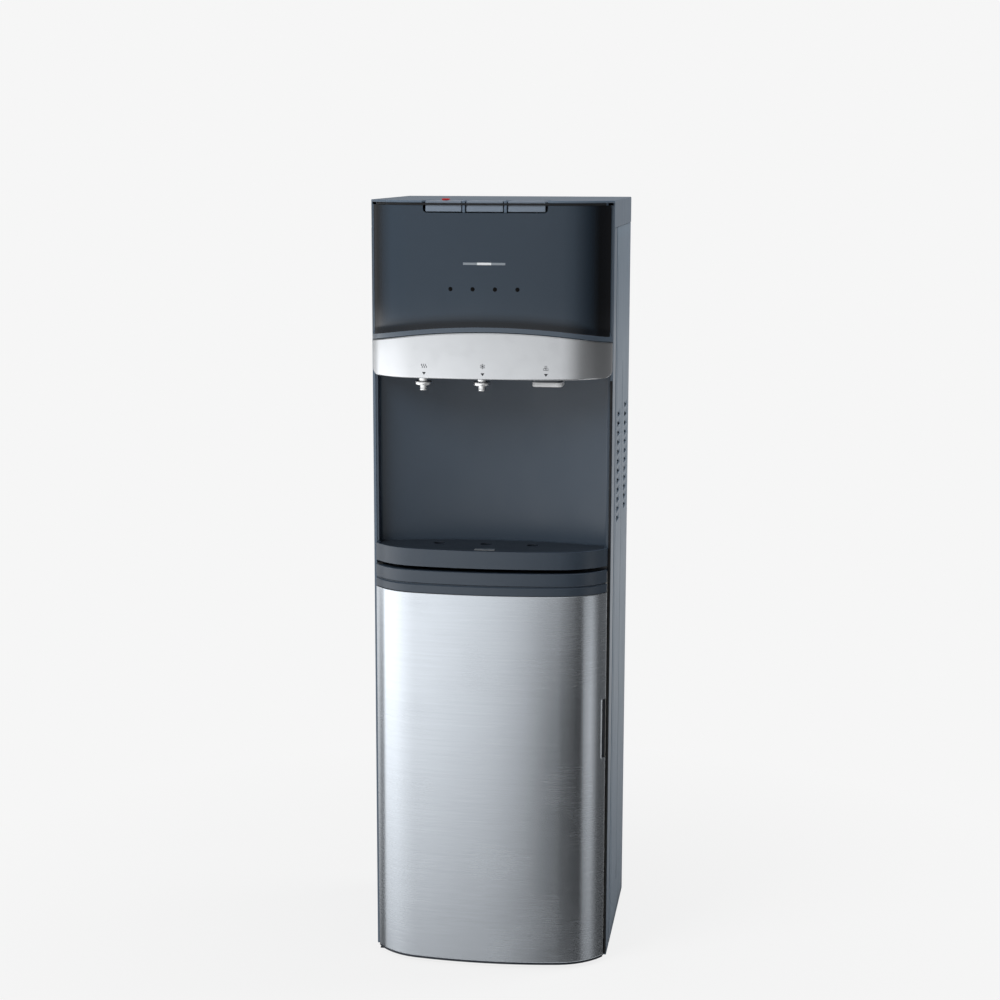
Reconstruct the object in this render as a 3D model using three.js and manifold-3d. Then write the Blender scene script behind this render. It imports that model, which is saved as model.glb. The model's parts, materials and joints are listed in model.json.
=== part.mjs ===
// Bottom load water cooler with an ice outlet, millimetres, +Z up, front facing -Y.
// The origin is at floor level under the middle of the overall box.

import * as THREE from 'three';
import { mergeVertices } from 'three/addons/utils/BufferGeometryUtils.js';
import Module from 'manifold-3d';

const wasm = await Module();
wasm.setup();

// ---------------------------------------------------------------- driving dimensions

const GAP = 0.3;                  // clearance between pieces that seat on each other

// Cabinet
const BODY_WIDTH = 310;
const SIDE_DEPTH = 270;           // side panels, front plane to back plane
const BOW_RADIUS = 600;           // middle arc of the bowed front, seen from above
const BOW_CORNER_RADIUS = 80;     // tighter arcs at both ends of the bow
const BOW_CORNER_SPAN = 60;       // width taken by each of those end arcs
const CONDENSER_DEPTH = 23;       // wire condenser, behind the back plane
const FOOT_EXPOSED = 5;           // underside of the base above the floor
const FOOT_RADIUS = 17;
const FOOT_STEM_RADIUS = 5;
const FOOT_STEM_LENGTH = 16;
const FOOT_INSET = 34;            // feet, in from the sides and from front and back
const BASE_HEIGHT = 25;
const BASE_FLOOR = 4;
const BASE_WALL = 3;
const BASE_PAD = 2.5;             // raised floor that the bottle stands on, above the rim
const PAD_GAP = 1;                // pad to the liner around it
const PANEL_THICKNESS = 1.5;
const PANEL_EDGE_RADIUS = 6;
const PANEL_RETURN = 11.5;        // rear flange of a side panel
const COLUMN_DEPTH = 40;          // front columns, seen from the side
const COLUMN_TONGUE = 10;         // lip that the side panel laps over
const COLUMN_TONGUE_THICKNESS = 2;
const SHADOW_GAP = 4.5;           // visible joint between column and side panel
const BACK_THICKNESS = 1.2;
const LINER_THICKNESS = 1.5;
const LINER_CORNER_RADIUS = 22;
const LIP_WIDTH = 8;              // lip round the mouth of the bay that the door's gasket meets
const LIP_THICKNESS = 3;
const SHELF_RIM = 24;             // solid edge round the machine shelf's hollow, half of it at the rear
const SHELF_SKIN = 4;             // its top over that hollow
const COVER_SKIRT = 34.5;           // how far the top cover reaches down the sides
const COVER_TOP = 3;
const COVER_WALL = 2.5;

// Side louvres and pressed lines
const LOUVRE_ROWS = 12;
const LOUVRE_PITCH = 12.7;
const LOUVRE_LENGTH = 44;
const LOUVRE_HEIGHT = 8;
const LOUVRE_ABOVE_SHELF = 46;    // lowest row above the shelf behind the niche
const LOUVRE_COLUMNS = [102, 214];   // middle of each column, behind the front plane
const PRESSED_WIDTH = 4;
const PRESSED_DEPTH = 0.8;
const PRESSED_LINES = [              // distance behind the front plane, ends above floor and below top
  { back: 66, low: 30, below: 72 },
  { back: 155, low: 57, below: 215 },
];

// Levels
const STEEL_TOP = 502;            // top edge of the steel door skin
const DOOR_TOP = 531.5;
const DOOR_CLEARANCE = 1;         // door above the underside of the base
const TRAY_SHADOW = 5.2;          // shelf top above the door, the dark joint under the tray
const SHELF_THICKNESS = 9.2;
const TRAY_HEIGHT = 22.5;
const NICHE_HEIGHT = 219;       // tray to the underside of the band
const HEAD_HEIGHT = 221.5;          // underside of the band to the flat of the top cover
const BAND_HEIGHT = 44.6;         // at both ends
const BAND_ARCH_RISE = 14.3;      // taller in the middle by this
const FASCIA_GAP = 6;             // top of the cover above the top of the fascia
const LED_BELOW_TOP = 109;
const LED_RADIUS = 2.7;
const LED_PITCH = 28;
const LED_ROW_X = -3.2;
const BOARD_MARGIN = 20;
const CHIP_SIZE = 20;             // transformer, relay and driver on the board
const CHIP_HEIGHT = 11;
const STRIP_BELOW_TOP = 77.5;
const STRIP_X = -2.8;
const STRIP_WIDTH = 53;
const STRIP_HEIGHT = 3.2;

// Door
const DOOR_SIDE_GAP = 4;          // each side of the door to the outside of the cabinet
const DOOR_SEAL_GAP = 2;          // back of the door to the front plane
const SKIN_THICKNESS = 1;
const DOOR_WALL = 4;
const DOOR_LIP = 3;               // plastic edge that shows under the steel
const DOOR_RAIL = 20;             // solid rails above and below the hollow
const DOOR_STILE = 18;            // solid stiles beside the hollow
const CAP_GROOVE_RISE = 12;       // groove above the steel
const CAP_GROOVE_HEIGHT = 2;
const CAP_GROOVE_DEPTH = 1.6;
const DOOR_BEVEL = 3;             // rear upright edges of the door, cut back to swing clear
const HINGE_IN = 10;              // hinge axis, in from the side of the cabinet
const HINGE_AHEAD = 8;            // hinge axis, ahead of the front plane
const HINGE_ARM = 20;
const HINGE_PIN_RADIUS = 3;
const HINGE_PIN_LENGTH = 14;
const HINGE_PLATE = 1.3;
const GRIP_LOW = 282;
const GRIP_HEIGHT = 79;
const GRIP_NOTCH = 3.5;           // notch in the steel edge
const GRIP_REACH = 16;            // hollow behind the steel, in from the door edge
const GRIP_DEPTH = 8.5;
const GASKET_WIDTH = 8;

// Niche, tray and outlets
const FRONT_WALL = 2.5;
const NICHE_BACK_SIDE = 16;       // back wall behind the front plane at the sides
const NICHE_BACK_MIDDLE = 39;     // and in the middle
const NICHE_WALL = 2.5;
const OUTLET_PLATE = 3;
const OUTLET_AHEAD = 20;          // outlets ahead of the front plane
const HOT_X = -85;
const COLD_X = -10;
const ICE_X = 75;
const NOZZLE_FLANGE_RADIUS = 10.7;
const NOZZLE_FLANGE_LENGTH = 5;
const NOZZLE_SPOUT_RADIUS = 5;
const NOZZLE_SPOUT_LENGTH = 7;
const NOZZLE_BORE = 3.5;
const NOZZLE_DROP = 7.6;          // flange top below the outlet plate
const VALVE_PIPE = 80;            // pipe that leads back from each valve
const CHUTE_WIDTH = 38;
const CHUTE_DEPTH = 38;
const CHUTE_WALL = 1.8;
const CHUTE_DROP = 11.3;          // mouth below the outlet plate
const CHUTE_BEND = 38;            // straight part above the mouth
const CHUTE_LEAN = 56;            // how far the passage leans back to the bin
const FLAP_PIN = 1.5;
const FLAP_PIN_BACK = 14;         // flap hinge behind the middle of the mouth
const FLAP_PIN_LEVEL = 33;        // and above it
const FLAP_SLOPE = 25;            // degrees the closed flap leans down to the front
const TRAY_WALL = 3;
const GRID_THICKNESS = 4;
const GRID_CLEARANCE = 0.6;
const DRAIN_RADIUS = 7.5;
const DRAIN_XS = [-69, -8, 53];
const DRAIN_BACK = 5;             // drain holes behind the front plane
const TRAY_BAR_WIDTH = 26;        // lifting tab on the grid
const TRAY_BAR_DEPTH = 9;
const TRAY_BAR_HEIGHT = 1.6;
const TRAY_BAR_SINK = 0.2;        // top of the inlaid bar below the top of the grid
const TRAY_BAR_X = -4;
const TRAY_BAR_BACK = 15;         // behind the foremost line of the bow

// Keys
const KEY_WIDTH = 46;
const KEY_PITCH = 52.2;
const KEY_ROW_X = -2.3;
const KEY_SURROUND = 3.3;         // fascia's recess beyond the row, each side
const KEY_FACE = 13.5;            // height of the face that shows
const KEY_BACK = 50;              // hinge axis behind the foremost line of the bow
const KEY_DROP = 6.5;             // hinge axis below the top of the key
const KEY_WALL = 3;
const KEY_BARREL = 3;
const KEY_SINK = 0.5;             // top of the key below the top of the cover
const LOCK_WIDTH = 9;
const LOCK_LENGTH = 7;
const LOCK_RISE = 2;
const LOCK_TRAVEL = 5;
const LOCK_BACK = 26;             // behind the foremost line of the bow
const LOCK_NECK = 4;

// Works behind the niche and above it
const COMPRESSOR_SIDE_GAP = 7;    // base plate to the inside of the column
const COMPRESSOR_BACK = 178;      // behind the front plane
const COMPRESSOR_RADIUS = 60;
const COMPRESSOR_PLATE = 12;      // base plate beyond the shell, each side
const COMPRESSOR_HEIGHT = 150;
const HOT_TANK_SIDE_GAP = 18.9;
const HOT_TANK_BACK = 168;
const HOT_TANK_RADIUS = 50;
const HOT_TANK_HEIGHT = 170;
const HOT_TANK_LEGS = 26;
const TANK_WALL = 1.5;
const HEATER_HOLE = 17;
const FOAM_SIDE_GAP = 4;
const COLD_TANK_BACK = 170;
const COLD_TANK_RADIUS = 48;
const COLD_TANK_RISE = 32;        // underside above the underside of the band
const COLD_TANK_HEIGHT = 126;
const COIL_TURNS = 6;
const COIL_TUBE_RADIUS = 3.5;
const FOAM_THICKNESS = 14;
const BIN_WIDTH = 124;
const BIN_FRONT = 22;             // behind the front plane
const BIN_LENGTH = 150;
const BIN_RISE = 68;              // underside above the underside of the band
const BIN_HEIGHT = 92;
const BIN_WALL = 2.5;
const AUGER_RADIUS = 17;
const AUGER_SHAFT = 4;
const AUGER_TURNS = 4;
const MOTOR_WIDTH = 52;
const MOTOR_LENGTH = 38;
const ICE_FINGERS = 4;
const PUMP_SIDE_GAP = 5;
const PUMP_BACK = 100;
const PUMP_RADIUS = 18;
const PUMP_HEIGHT = 60;
const HOSE_RADIUS = 4;
const HOSE_HOLE = 6;
const PUMP_PORT = 6;              // suction port below the shelf's top
const PORT_LENGTH = 8;            // port on the probe's cap
const PORT_BELOW_CAP = 10;
const PROBE_SIDE_GAP = 8.5;       // cap to the liner, side and rear
const PROBE_REAR_GAP = 6;
const PROBE_CAP_RADIUS = 19;
const PROBE_CAP_HEIGHT = 28;
const PROBE_CAP_DROP = 50;        // underside of the cap below the shelf
const PROBE_STRAW_RADIUS = 5;
const PROBE_STRAW_CLEARANCE = 44; // end of the straw above the floor of the bay
const PROBE_BRACKET = 14;
const HOSE_SAG = 110;             // loop below the probe's port
const HOSE_LANE = 3.5;            // hose to the side wall
const CONDENSER_RUNS = 8;
const CONDENSER_WIRES = 5;
const CONDENSER_WIDTH = 250;
const CONDENSER_LOW = 190;
const CONDENSER_BELOW_TOP = 150;
const CONDENSER_TUBE = 2.6;
const WIRE_SIZE = 1.6;
const SWITCH_WIDTH = 14;
const SWITCH_HEIGHT = 21;
const SWITCH_TILT = 8;            // degrees a rocker leans at rest
const SWITCH_BELOW_TOP = 95;
const SERVICE_THICKNESS = 2;      // plate across the top of the back, with switches and mains inlet
const SWITCH_WELL = 15;           // depth of the wells behind the rockers
const SWITCH_SIDE_GAP = 37;       // first rocker, in from the side
const SWITCH_PITCH = 26;
const INLET_PITCH = 38;
const INLET_WIDTH = 27;
const INLET_HEIGHT = 20;
const DRAIN_PLUG_RADIUS = 7;
const DRAIN_PLUG_X = 95;
const DRAIN_PLUG_LEVEL = 16;

// ---------------------------------------------------------------- planes worked out from them

const half = BODY_WIDTH / 2;
const shelfTop = DOOR_TOP + TRAY_SHADOW;
const trayLow = shelfTop + GAP;
const trayTop = trayLow + TRAY_HEIGHT;
const bandBottom = trayTop + NICHE_HEIGHT;
const bandArchEnd = bandBottom + BAND_HEIGHT;
const bodyHeight = bandBottom + HEAD_HEIGHT;
const fasciaTop = bodyHeight - FASCIA_GAP;
const ledLevel = bodyHeight - LED_BELOW_TOP;
const stripLevel = bodyHeight - STRIP_BELOW_TOP;
const capGrooveLevel = STEEL_TOP + CAP_GROOVE_RISE;
const louvreLowest = shelfTop + LOUVRE_ABOVE_SHELF;
const coldTankLow = bandBottom + COLD_TANK_RISE;
const binLow = bandBottom + BIN_RISE;
const condenserHigh = bodyHeight - CONDENSER_BELOW_TOP;
const switchLevel = bodyHeight - SWITCH_BELOW_TOP;
const serviceLow = switchLevel - SWITCH_HEIGHT;
const bowAngle = Math.asin((half - BOW_CORNER_SPAN) / BOW_RADIUS);
const cornerX = half - BOW_CORNER_SPAN - BOW_CORNER_RADIUS * Math.sin(bowAngle);
const cornerBack = BOW_RADIUS * (1 - Math.cos(bowAngle)) + BOW_CORNER_RADIUS * Math.cos(bowAngle);
const bowDepth = bowBack(half, 0);
const frontLine = -(bowDepth + SIDE_DEPTH + CONDENSER_DEPTH) / 2;
const frontPlane = frontLine + bowDepth;
const backPlane = frontPlane + SIDE_DEPTH;
const baseTop = FOOT_EXPOSED + BASE_HEIGHT;
const baseRim = baseTop - BASE_PAD;
const doorLow = FOOT_EXPOSED + DOOR_CLEARANCE;
const doorBack = frontPlane - DOOR_SEAL_GAP;
const doorHalf = half - DOOR_SIDE_GAP;
const steelLow = doorLow + DOOR_LIP;
const hingeX = -half + HINGE_IN;
const hingeY = frontPlane - HINGE_AHEAD;
const shelfLow = shelfTop - SHELF_THICKNESS;
const probeCapLow = shelfLow - PROBE_CAP_DROP;
const columnInner = half - PANEL_THICKNESS - GAP - COLUMN_TONGUE_THICKNESS;
const coverSeam = bodyHeight - COVER_SKIRT;
const coverLow = bodyHeight - COVER_TOP;
const fillHalf = columnInner - GAP;
const nicheHalf = fillHalf - LINER_THICKNESS;
const foamRadius = COLD_TANK_RADIUS + 1 + 2 * GAP + 2 * COIL_TUBE_RADIUS + FOAM_THICKNESS;
const compressorX = fillHalf - COMPRESSOR_SIDE_GAP - COMPRESSOR_PLATE - COMPRESSOR_RADIUS;
const hotTankX = HOT_TANK_SIDE_GAP + HOT_TANK_RADIUS - fillHalf;
const coldTankX = FOAM_SIDE_GAP + foamRadius - fillHalf;
const pumpX = PUMP_SIDE_GAP + PUMP_RADIUS - fillHalf;
const probeX = PROBE_SIDE_GAP + PROBE_CAP_RADIUS - nicheHalf;
const probeY = backPlane - BACK_THICKNESS - GAP - LINER_THICKNESS - PROBE_REAR_GAP - PROBE_CAP_RADIUS;
const keyReach = half - BOW_CORNER_SPAN + 15;
const plateLow = bandBottom + 2;
const plateTop = plateLow + OUTLET_PLATE;
const keyTop = bodyHeight - KEY_SINK;
const keyFaceLow = keyTop - KEY_FACE;
const keyHingeY = frontLine + KEY_BACK;
const keyHingeZ = keyTop - KEY_DROP;
const keyInset = FRONT_WALL + 0.6;
const recessHalf = KEY_PITCH + KEY_WIDTH / 2 + KEY_SURROUND;
const hingeHighLow = DOOR_TOP + GAP + 0.3;
const hingeLowTop = FOOT_EXPOSED - GAP;
const ledXs = [-1.5, -0.5, 0.5, 1.5].map((k) => LED_ROW_X + k * LED_PITCH);
const innerRear = backPlane - PANEL_THICKNESS - GAP;
const chuteRise = binLow - plateLow + CHUTE_DROP - GAP;
const binFront = frontPlane + BIN_FRONT;
const binBack = binFront + BIN_LENGTH;
const augerLevel = AUGER_RADIUS + 2.5 + BIN_WALL;
const switchPlaces = [
  ['heating_switch', SWITCH_SIDE_GAP - half],
  ['cooling_switch', SWITCH_SIDE_GAP + SWITCH_PITCH - half],
];
const inletX = SWITCH_SIDE_GAP + SWITCH_PITCH + INLET_PITCH - half;

// How far behind its foremost line the bow lies at x, for a surface set in by inset.
function bowBack(x, inset) {
  const middle = BOW_RADIUS - inset;
  const across = Math.abs(x);
  if (across <= middle * Math.sin(bowAngle)) {
    return BOW_RADIUS - Math.sqrt(middle * middle - across * across);
  }
  const corner = BOW_CORNER_RADIUS - inset;
  const reach = Math.min(across - cornerX, corner);
  return cornerBack - Math.sqrt(corner * corner - reach * reach);
}

// ---------------------------------------------------------------- solids and shapes

// Merges shared corners, drops faces without area and turns an inside-out shell round.
function weld(geometry) {
  const bare = geometry.clone();
  bare.deleteAttribute('normal');
  bare.deleteAttribute('uv');
  const merged = mergeVertices(bare, 1e-4);
  const position = merged.getAttribute('position');
  const index = merged.getIndex().array;
  const corners = [];
  let volume = 0;
  const [a, b, c] = [new THREE.Vector3(), new THREE.Vector3(), new THREE.Vector3()];
  for (let i = 0; i < index.length; i += 3) {
    const [p, q, r] = [index[i], index[i + 1], index[i + 2]];
    if (p === q || q === r || r === p) continue;
    corners.push(p, q, r);
    a.fromBufferAttribute(position, p);
    b.fromBufferAttribute(position, q);
    c.fromBufferAttribute(position, r);
    volume += a.dot(b.cross(c));
  }
  if (volume < 0) corners.reverse();
  return { points: new Float32Array(position.array), corners: new Uint32Array(corners) };
}

function solid(geometry) {
  const { points, corners } = weld(geometry);
  return new wasm.Manifold(new wasm.Mesh({ numProp: 3, vertProperties: points, triVerts: corners }));
}

function toGeometry(manifold) {
  const mesh = manifold.getMesh();
  const geometry = new THREE.BufferGeometry();
  geometry.setAttribute('position', new THREE.BufferAttribute(new Float32Array(mesh.vertProperties), 3));
  geometry.setIndex(new THREE.BufferAttribute(new Uint32Array(mesh.triVerts), 1));
  geometry.computeVertexNormals();
  return geometry;
}

const join = (first, ...others) => others.reduce((sum, other) => sum.add(other), first);
const cut = (first, ...others) => others.reduce((sum, other) => sum.subtract(other), first);

function block(x0, x1, y0, y1, z0, z1) {
  const geometry = new THREE.BoxGeometry(x1 - x0, y1 - y0, z1 - z0);
  return solid(geometry.translate((x0 + x1) / 2, (y0 + y1) / 2, (z0 + z1) / 2));
}

// A plan outline of [x, y] points, raised from z0 to z1.
function plan(points, z0, z1) {
  const shape = new THREE.Shape(points.map(([x, y]) => new THREE.Vector2(x, y)));
  const geometry = new THREE.ExtrudeGeometry(shape, { depth: z1 - z0, bevelEnabled: false });
  return solid(geometry.translate(0, 0, z0));
}

// A front outline of [x, z] points, run from y0 to y1.
function elevation(points, y0, y1) {
  const shape = new THREE.Shape(points.map(([x, z]) => new THREE.Vector2(x, z)));
  const geometry = new THREE.ExtrudeGeometry(shape, { depth: y1 - y0, bevelEnabled: false });
  const east = new THREE.Vector3(1, 0, 0);
  const up = new THREE.Vector3(0, 0, 1);
  const south = new THREE.Vector3(0, -1, 0);
  geometry.applyMatrix4(new THREE.Matrix4().makeBasis(east, up, south));
  return solid(geometry.translate(0, y1, 0));
}

// A side outline of [y, z] points, run from x0 to x1.
function profile(points, x0, x1) {
  const shape = new THREE.Shape(points.map(([y, z]) => new THREE.Vector2(y, z)));
  const geometry = new THREE.ExtrudeGeometry(shape, { depth: x1 - x0, bevelEnabled: false });
  const north = new THREE.Vector3(0, 1, 0);
  const up = new THREE.Vector3(0, 0, 1);
  const east = new THREE.Vector3(1, 0, 0);
  geometry.applyMatrix4(new THREE.Matrix4().makeBasis(north, up, east));
  return solid(geometry.translate(x0, 0, 0));
}

// A turned shape about the vertical through (x, y), from [radius, z] points.
function turned(points, sides, x, y) {
  const outline = points.map(([r, z]) => new THREE.Vector2(r, z));
  const geometry = new THREE.LatheGeometry(outline, sides);
  return solid(geometry.rotateX(Math.PI / 2).translate(x, y, 0));
}

function post(radius, z0, z1, x, y, sides = 16) {
  const geometry = new THREE.CylinderGeometry(radius, radius, z1 - z0, sides);
  return solid(geometry.rotateX(Math.PI / 2).translate(x, y, (z0 + z1) / 2));
}

function rodAlongX(radius, x0, x1, y, z, sides = 16) {
  const geometry = new THREE.CylinderGeometry(radius, radius, x1 - x0, sides);
  return solid(geometry.rotateZ(Math.PI / 2).translate((x0 + x1) / 2, y, z));
}

function rodAlongY(radius, y0, y1, x, z, sides = 16) {
  const geometry = new THREE.CylinderGeometry(radius, radius, y1 - y0, sides);
  return solid(geometry.translate(x, (y0 + y1) / 2, z));
}

// A round bar along a smooth curve through the points.
function bar(points, radius, sides, steps) {
  const section = new THREE.Shape();
  for (let k = 0; k < sides; k += 1) {
    const turn = (2 * Math.PI * k) / sides;
    const corner = [radius * Math.cos(turn), radius * Math.sin(turn)];
    if (k === 0) section.moveTo(...corner);
    else section.lineTo(...corner);
  }
  const route = new THREE.CatmullRomCurve3(points.map((p) => new THREE.Vector3(...p)), false, 'centripetal');
  return solid(new THREE.ExtrudeGeometry(section, { steps, extrudePath: route, bevelEnabled: false }));
}

// Points on an arc, angles in degrees, both ends included.
function arc(cx, cy, radius, from, to, steps) {
  return Array.from({ length: steps + 1 }, (_, k) => {
    const turn = THREE.MathUtils.degToRad(from + ((to - from) * k) / steps);
    return [cx + radius * Math.cos(turn), cy + radius * Math.sin(turn)];
  });
}

// Points along the bow from -reach to +reach, close together where it turns tighter.
function bowPoints(reach, inset) {
  const bend = (BOW_RADIUS - inset) * Math.sin(bowAngle);
  const cornerTurn = Math.asin(Math.min(1, (reach - cornerX) / (BOW_CORNER_RADIUS - inset)));
  const right = [];
  for (let k = 0; k <= 5; k += 1) {
    right.push((bend * k) / 5);
  }
  for (let k = 1; k <= 6; k += 1) {
    const turn = bowAngle + ((cornerTurn - bowAngle) * k) / 6;
    right.push(cornerX + (BOW_CORNER_RADIUS - inset) * Math.sin(turn));
  }
  const across = [...right.slice(1).reverse().map((x) => -x), ...right];
  return across.map((x) => [x, frontLine + bowBack(x, inset)]);
}

// A full D: the bow in front and a straight back.
function bowSolid(reach, inset, back, z0, z1) {
  return plan([...bowPoints(reach, inset), [reach, back], [-reach, back]], z0, z1);
}

// The door's plan: the bow in front, straight back, rear corners bevelled.
function doorSolid(inset, z0, z1) {
  const reach = doorHalf - inset;
  return plan([...bowPoints(reach, inset), [reach, doorBack - DOOR_BEVEL], [reach - DOOR_BEVEL, doorBack],
    [-reach + DOOR_BEVEL, doorBack], [-reach, doorBack - DOOR_BEVEL]], z0, z1);
}

// A wall of even thickness along the bow.
function bowShell(reach, inset, thickness, back, z0, z1) {
  return cut(
    bowSolid(reach, inset, back, z0, z1),
    bowSolid(reach - thickness, inset + thickness, back + 1, z0 - 1, z1 + 1),
  );
}

// The niche's back wall, seen from above, as points from -reach to +reach.
function nicheArc(reach, behind) {
  const sag = NICHE_BACK_MIDDLE - NICHE_BACK_SIDE;
  return Array.from({ length: 13 }, (_, k) => {
    const x = reach * (k / 6 - 1);
    return [x, frontPlane + behind + NICHE_BACK_MIDDLE - sag * (x / nicheHalf) ** 2];
  });
}

// The arched joint between band and fascia, [x, z] from -reach to +reach.
function archPoints(reach, lift) {
  const radius = (half * half + BAND_ARCH_RISE * BAND_ARCH_RISE) / (2 * BAND_ARCH_RISE);
  const crown = bandArchEnd + BAND_ARCH_RISE + lift;
  return Array.from({ length: 17 }, (_, k) => {
    const x = reach * (k / 8 - 1);
    return [x, crown - radius + Math.sqrt(radius * radius - x * x)];
  });
}

// ---------------------------------------------------------------- finishes

const finish = (color, roughness, metalness = 0) =>
  new THREE.MeshStandardMaterial({ color, roughness, metalness });

const slate = () => finish(0x42505c, 0.35);
const slatePanel = () => finish(0x7d8893, 0.5);
const darkPlastic = () => finish(0x1d242b, 0.45);
const brushedSteel = () => finish(0xb9bec3, 0.32, 1);
const silver = () => finish(0xc8ccd0, 0.3, 0.8);
const chrome = () => finish(0xe4e6e8, 0.08, 1);
const blackSteel = () => finish(0x17191b, 0.5, 0.3);
const whitePlastic = () => finish(0xe6e7e4, 0.45);
const greyPlastic = () => finish(0x6b747d, 0.45);
const rubber = () => finish(0x141516, 0.85);
const copper = () => finish(0xb8733f, 0.35, 1);
const foam = () => finish(0xd9d3c0, 0.9);
const zinc = () => finish(0x9ea4a8, 0.4, 0.9);
const redPlastic = () => finish(0xb3141c, 0.4);
const clearPlastic = () => finish(0xdfe6ea, 0.2);
const boardGreen = () => finish(0x1f5b3a, 0.5);

function piece(name, geometry, material, parent) {
  const mesh = new THREE.Mesh(geometry, material);
  mesh.name = name;
  parent.add(mesh);
  return mesh;
}

const made = (name, manifold, material, parent) => piece(name, toGeometry(manifold), material, parent);

// ---------------------------------------------------------------- cabinet

const footPlaces = [
  ['foot_front_left', -half + FOOT_INSET, frontPlane + FOOT_INSET],
  ['foot_front_right', half - FOOT_INSET, frontPlane + FOOT_INSET],
  ['foot_rear_left', -half + FOOT_INSET, backPlane - FOOT_INSET],
  ['foot_rear_right', half - FOOT_INSET, backPlane - FOOT_INSET],
];

// Plan of the pieces that fill the cabinet from column to column and reach its front plane.
function floorOutline() {
  const outer = columnInner - GAP;
  const r = PANEL_EDGE_RADIUS - PANEL_THICKNESS;
  return [[-outer, frontPlane], [outer, frontPlane], [outer, innerRear - r], [outer - r, innerRear],
    [-outer + r, innerRear], [-outer, innerRear - r]];
}

// The three walls round the bottle bay, seen from above and set in by inset.
function linerOutline(inset) {
  const side = columnInner - GAP - inset;
  const rear = backPlane - BACK_THICKNESS - GAP - inset;
  const front = frontPlane + LIP_THICKNESS + GAP + inset;
  const r = LINER_CORNER_RADIUS - inset;
  return [[side, front], ...arc(side - r, rear - r, r, 0, 90, 5), ...arc(-side + r, rear - r, r, 90, 180, 5),
    [-side, front]];
}

function buildBase(parent) {
  const outer = columnInner - GAP;
  const step = frontPlane + LIP_THICKNESS + GAP;
  const rear = innerRear;
  const hollowTop = baseRim - BASE_FLOOR;
  const hollow = block(-outer + BASE_WALL, outer - BASE_WALL, step + BASE_WALL, rear - BASE_WALL,
    FOOT_EXPOSED - 1, hollowTop);
  const bossLow = FOOT_EXPOSED + 2;
  const bosses = footPlaces.map(([, x, y]) => post(FOOT_RADIUS - 3, bossLow, hollowTop + 1, x, y));
  const holes = footPlaces.map(([, x, y]) =>
    post(FOOT_STEM_RADIUS + GAP, bossLow - 1, FOOT_EXPOSED + FOOT_STEM_LENGTH + GAP, x, y, 12));
  const drainHole = rodAlongY(DRAIN_PLUG_RADIUS + GAP, rear - BASE_WALL - 1, rear + 1,
    DRAIN_PLUG_X, DRAIN_PLUG_LEVEL);
  const pad = plan(linerOutline(LINER_THICKNESS + PAD_GAP), baseRim - 1, baseTop);
  const tub = cut(plan(floorOutline(), FOOT_EXPOSED, baseRim), hollow);
  const base = cut(join(tub, pad, ...bosses), ...holes, drainHole);
  made('base_pan', base, darkPlastic(), parent);
}

function buildFeet(parent) {
  const pad = FOOT_EXPOSED + 2 - GAP;
  const edge = 1.5;
  const stemTop = FOOT_EXPOSED + FOOT_STEM_LENGTH;
  const outline = [[0, 0], [FOOT_RADIUS - edge, 0], [FOOT_RADIUS, edge], [FOOT_RADIUS, pad],
    [FOOT_STEM_RADIUS, pad], [FOOT_STEM_RADIUS, stemTop], [0, stemTop]];
  for (const [name, x, y] of footPlaces) {
    const foot = made(name, turned(outline, 16, 0, 0), rubber(), parent);
    foot.position.set(x, y, 0);
  }
}

function buildColumn(name, side, parent) {
  const rear = frontPlane + COLUMN_DEPTH;
  const lap = half - PANEL_THICKNESS - GAP;
  const outline = [[half, frontPlane], [half, rear], [lap, rear], [lap, rear + COLUMN_TONGUE],
    [columnInner, rear + COLUMN_TONGUE], [columnInner, frontPlane]];
  const column = plan(outline.map(([x, y]) => [side * x, y]), doorLow, coverSeam - GAP);
  made(name, column, slatePanel(), parent);
}

function buildSidePanel(name, side, parent) {
  const front = frontPlane + COLUMN_DEPTH + SHADOW_GAP;
  const r = PANEL_EDGE_RADIUS;
  const t = PANEL_THICKNESS;
  const outline = [
    [half, front], ...arc(half - r, backPlane - r, r, 0, 90, 4), [half - PANEL_RETURN, backPlane],
    [half - PANEL_RETURN, backPlane - t], ...arc(half - r, backPlane - r, r - t, 90, 0, 4), [half - t, front],
  ].map(([x, y]) => [side * x, y]);
  const cuts = [];
  for (const line of PRESSED_LINES) {
    const y = frontPlane + line.back;
    const depth = [side * (half - PRESSED_DEPTH), side * (half + 1)].sort((a, b) => a - b);
    cuts.push(block(...depth, y - PRESSED_WIDTH / 2, y + PRESSED_WIDTH / 2,
      line.low, bodyHeight - line.below));
  }
  const through = [side * (half - t - 1), side * (half + 1)].sort((a, b) => a - b);
  for (const back of LOUVRE_COLUMNS) {
    for (let row = 0; row < LOUVRE_ROWS; row += 1) {
      const y = frontPlane + back;
      const z = louvreLowest + row * LOUVRE_PITCH;
      cuts.push(block(...through, y - LOUVRE_LENGTH / 2, y + LOUVRE_LENGTH / 2,
        z - LOUVRE_HEIGHT / 2, z + LOUVRE_HEIGHT / 2));
    }
  }
  made(name, cut(plan(outline, doorLow, coverSeam - GAP), ...cuts), slatePanel(), parent);
}

function buildBackPanel(parent) {
  const edge = half - PANEL_RETURN - GAP;
  const front = backPlane - BACK_THICKNESS;
  const sheet = block(-edge, edge, front, backPlane, doorLow, serviceLow - GAP);
  const drain = rodAlongY(DRAIN_PLUG_RADIUS + GAP, front - 1, backPlane + 1, DRAIN_PLUG_X, DRAIN_PLUG_LEVEL);
  made('back_panel', cut(sheet, drain), blackSteel(), parent);
}

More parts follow.
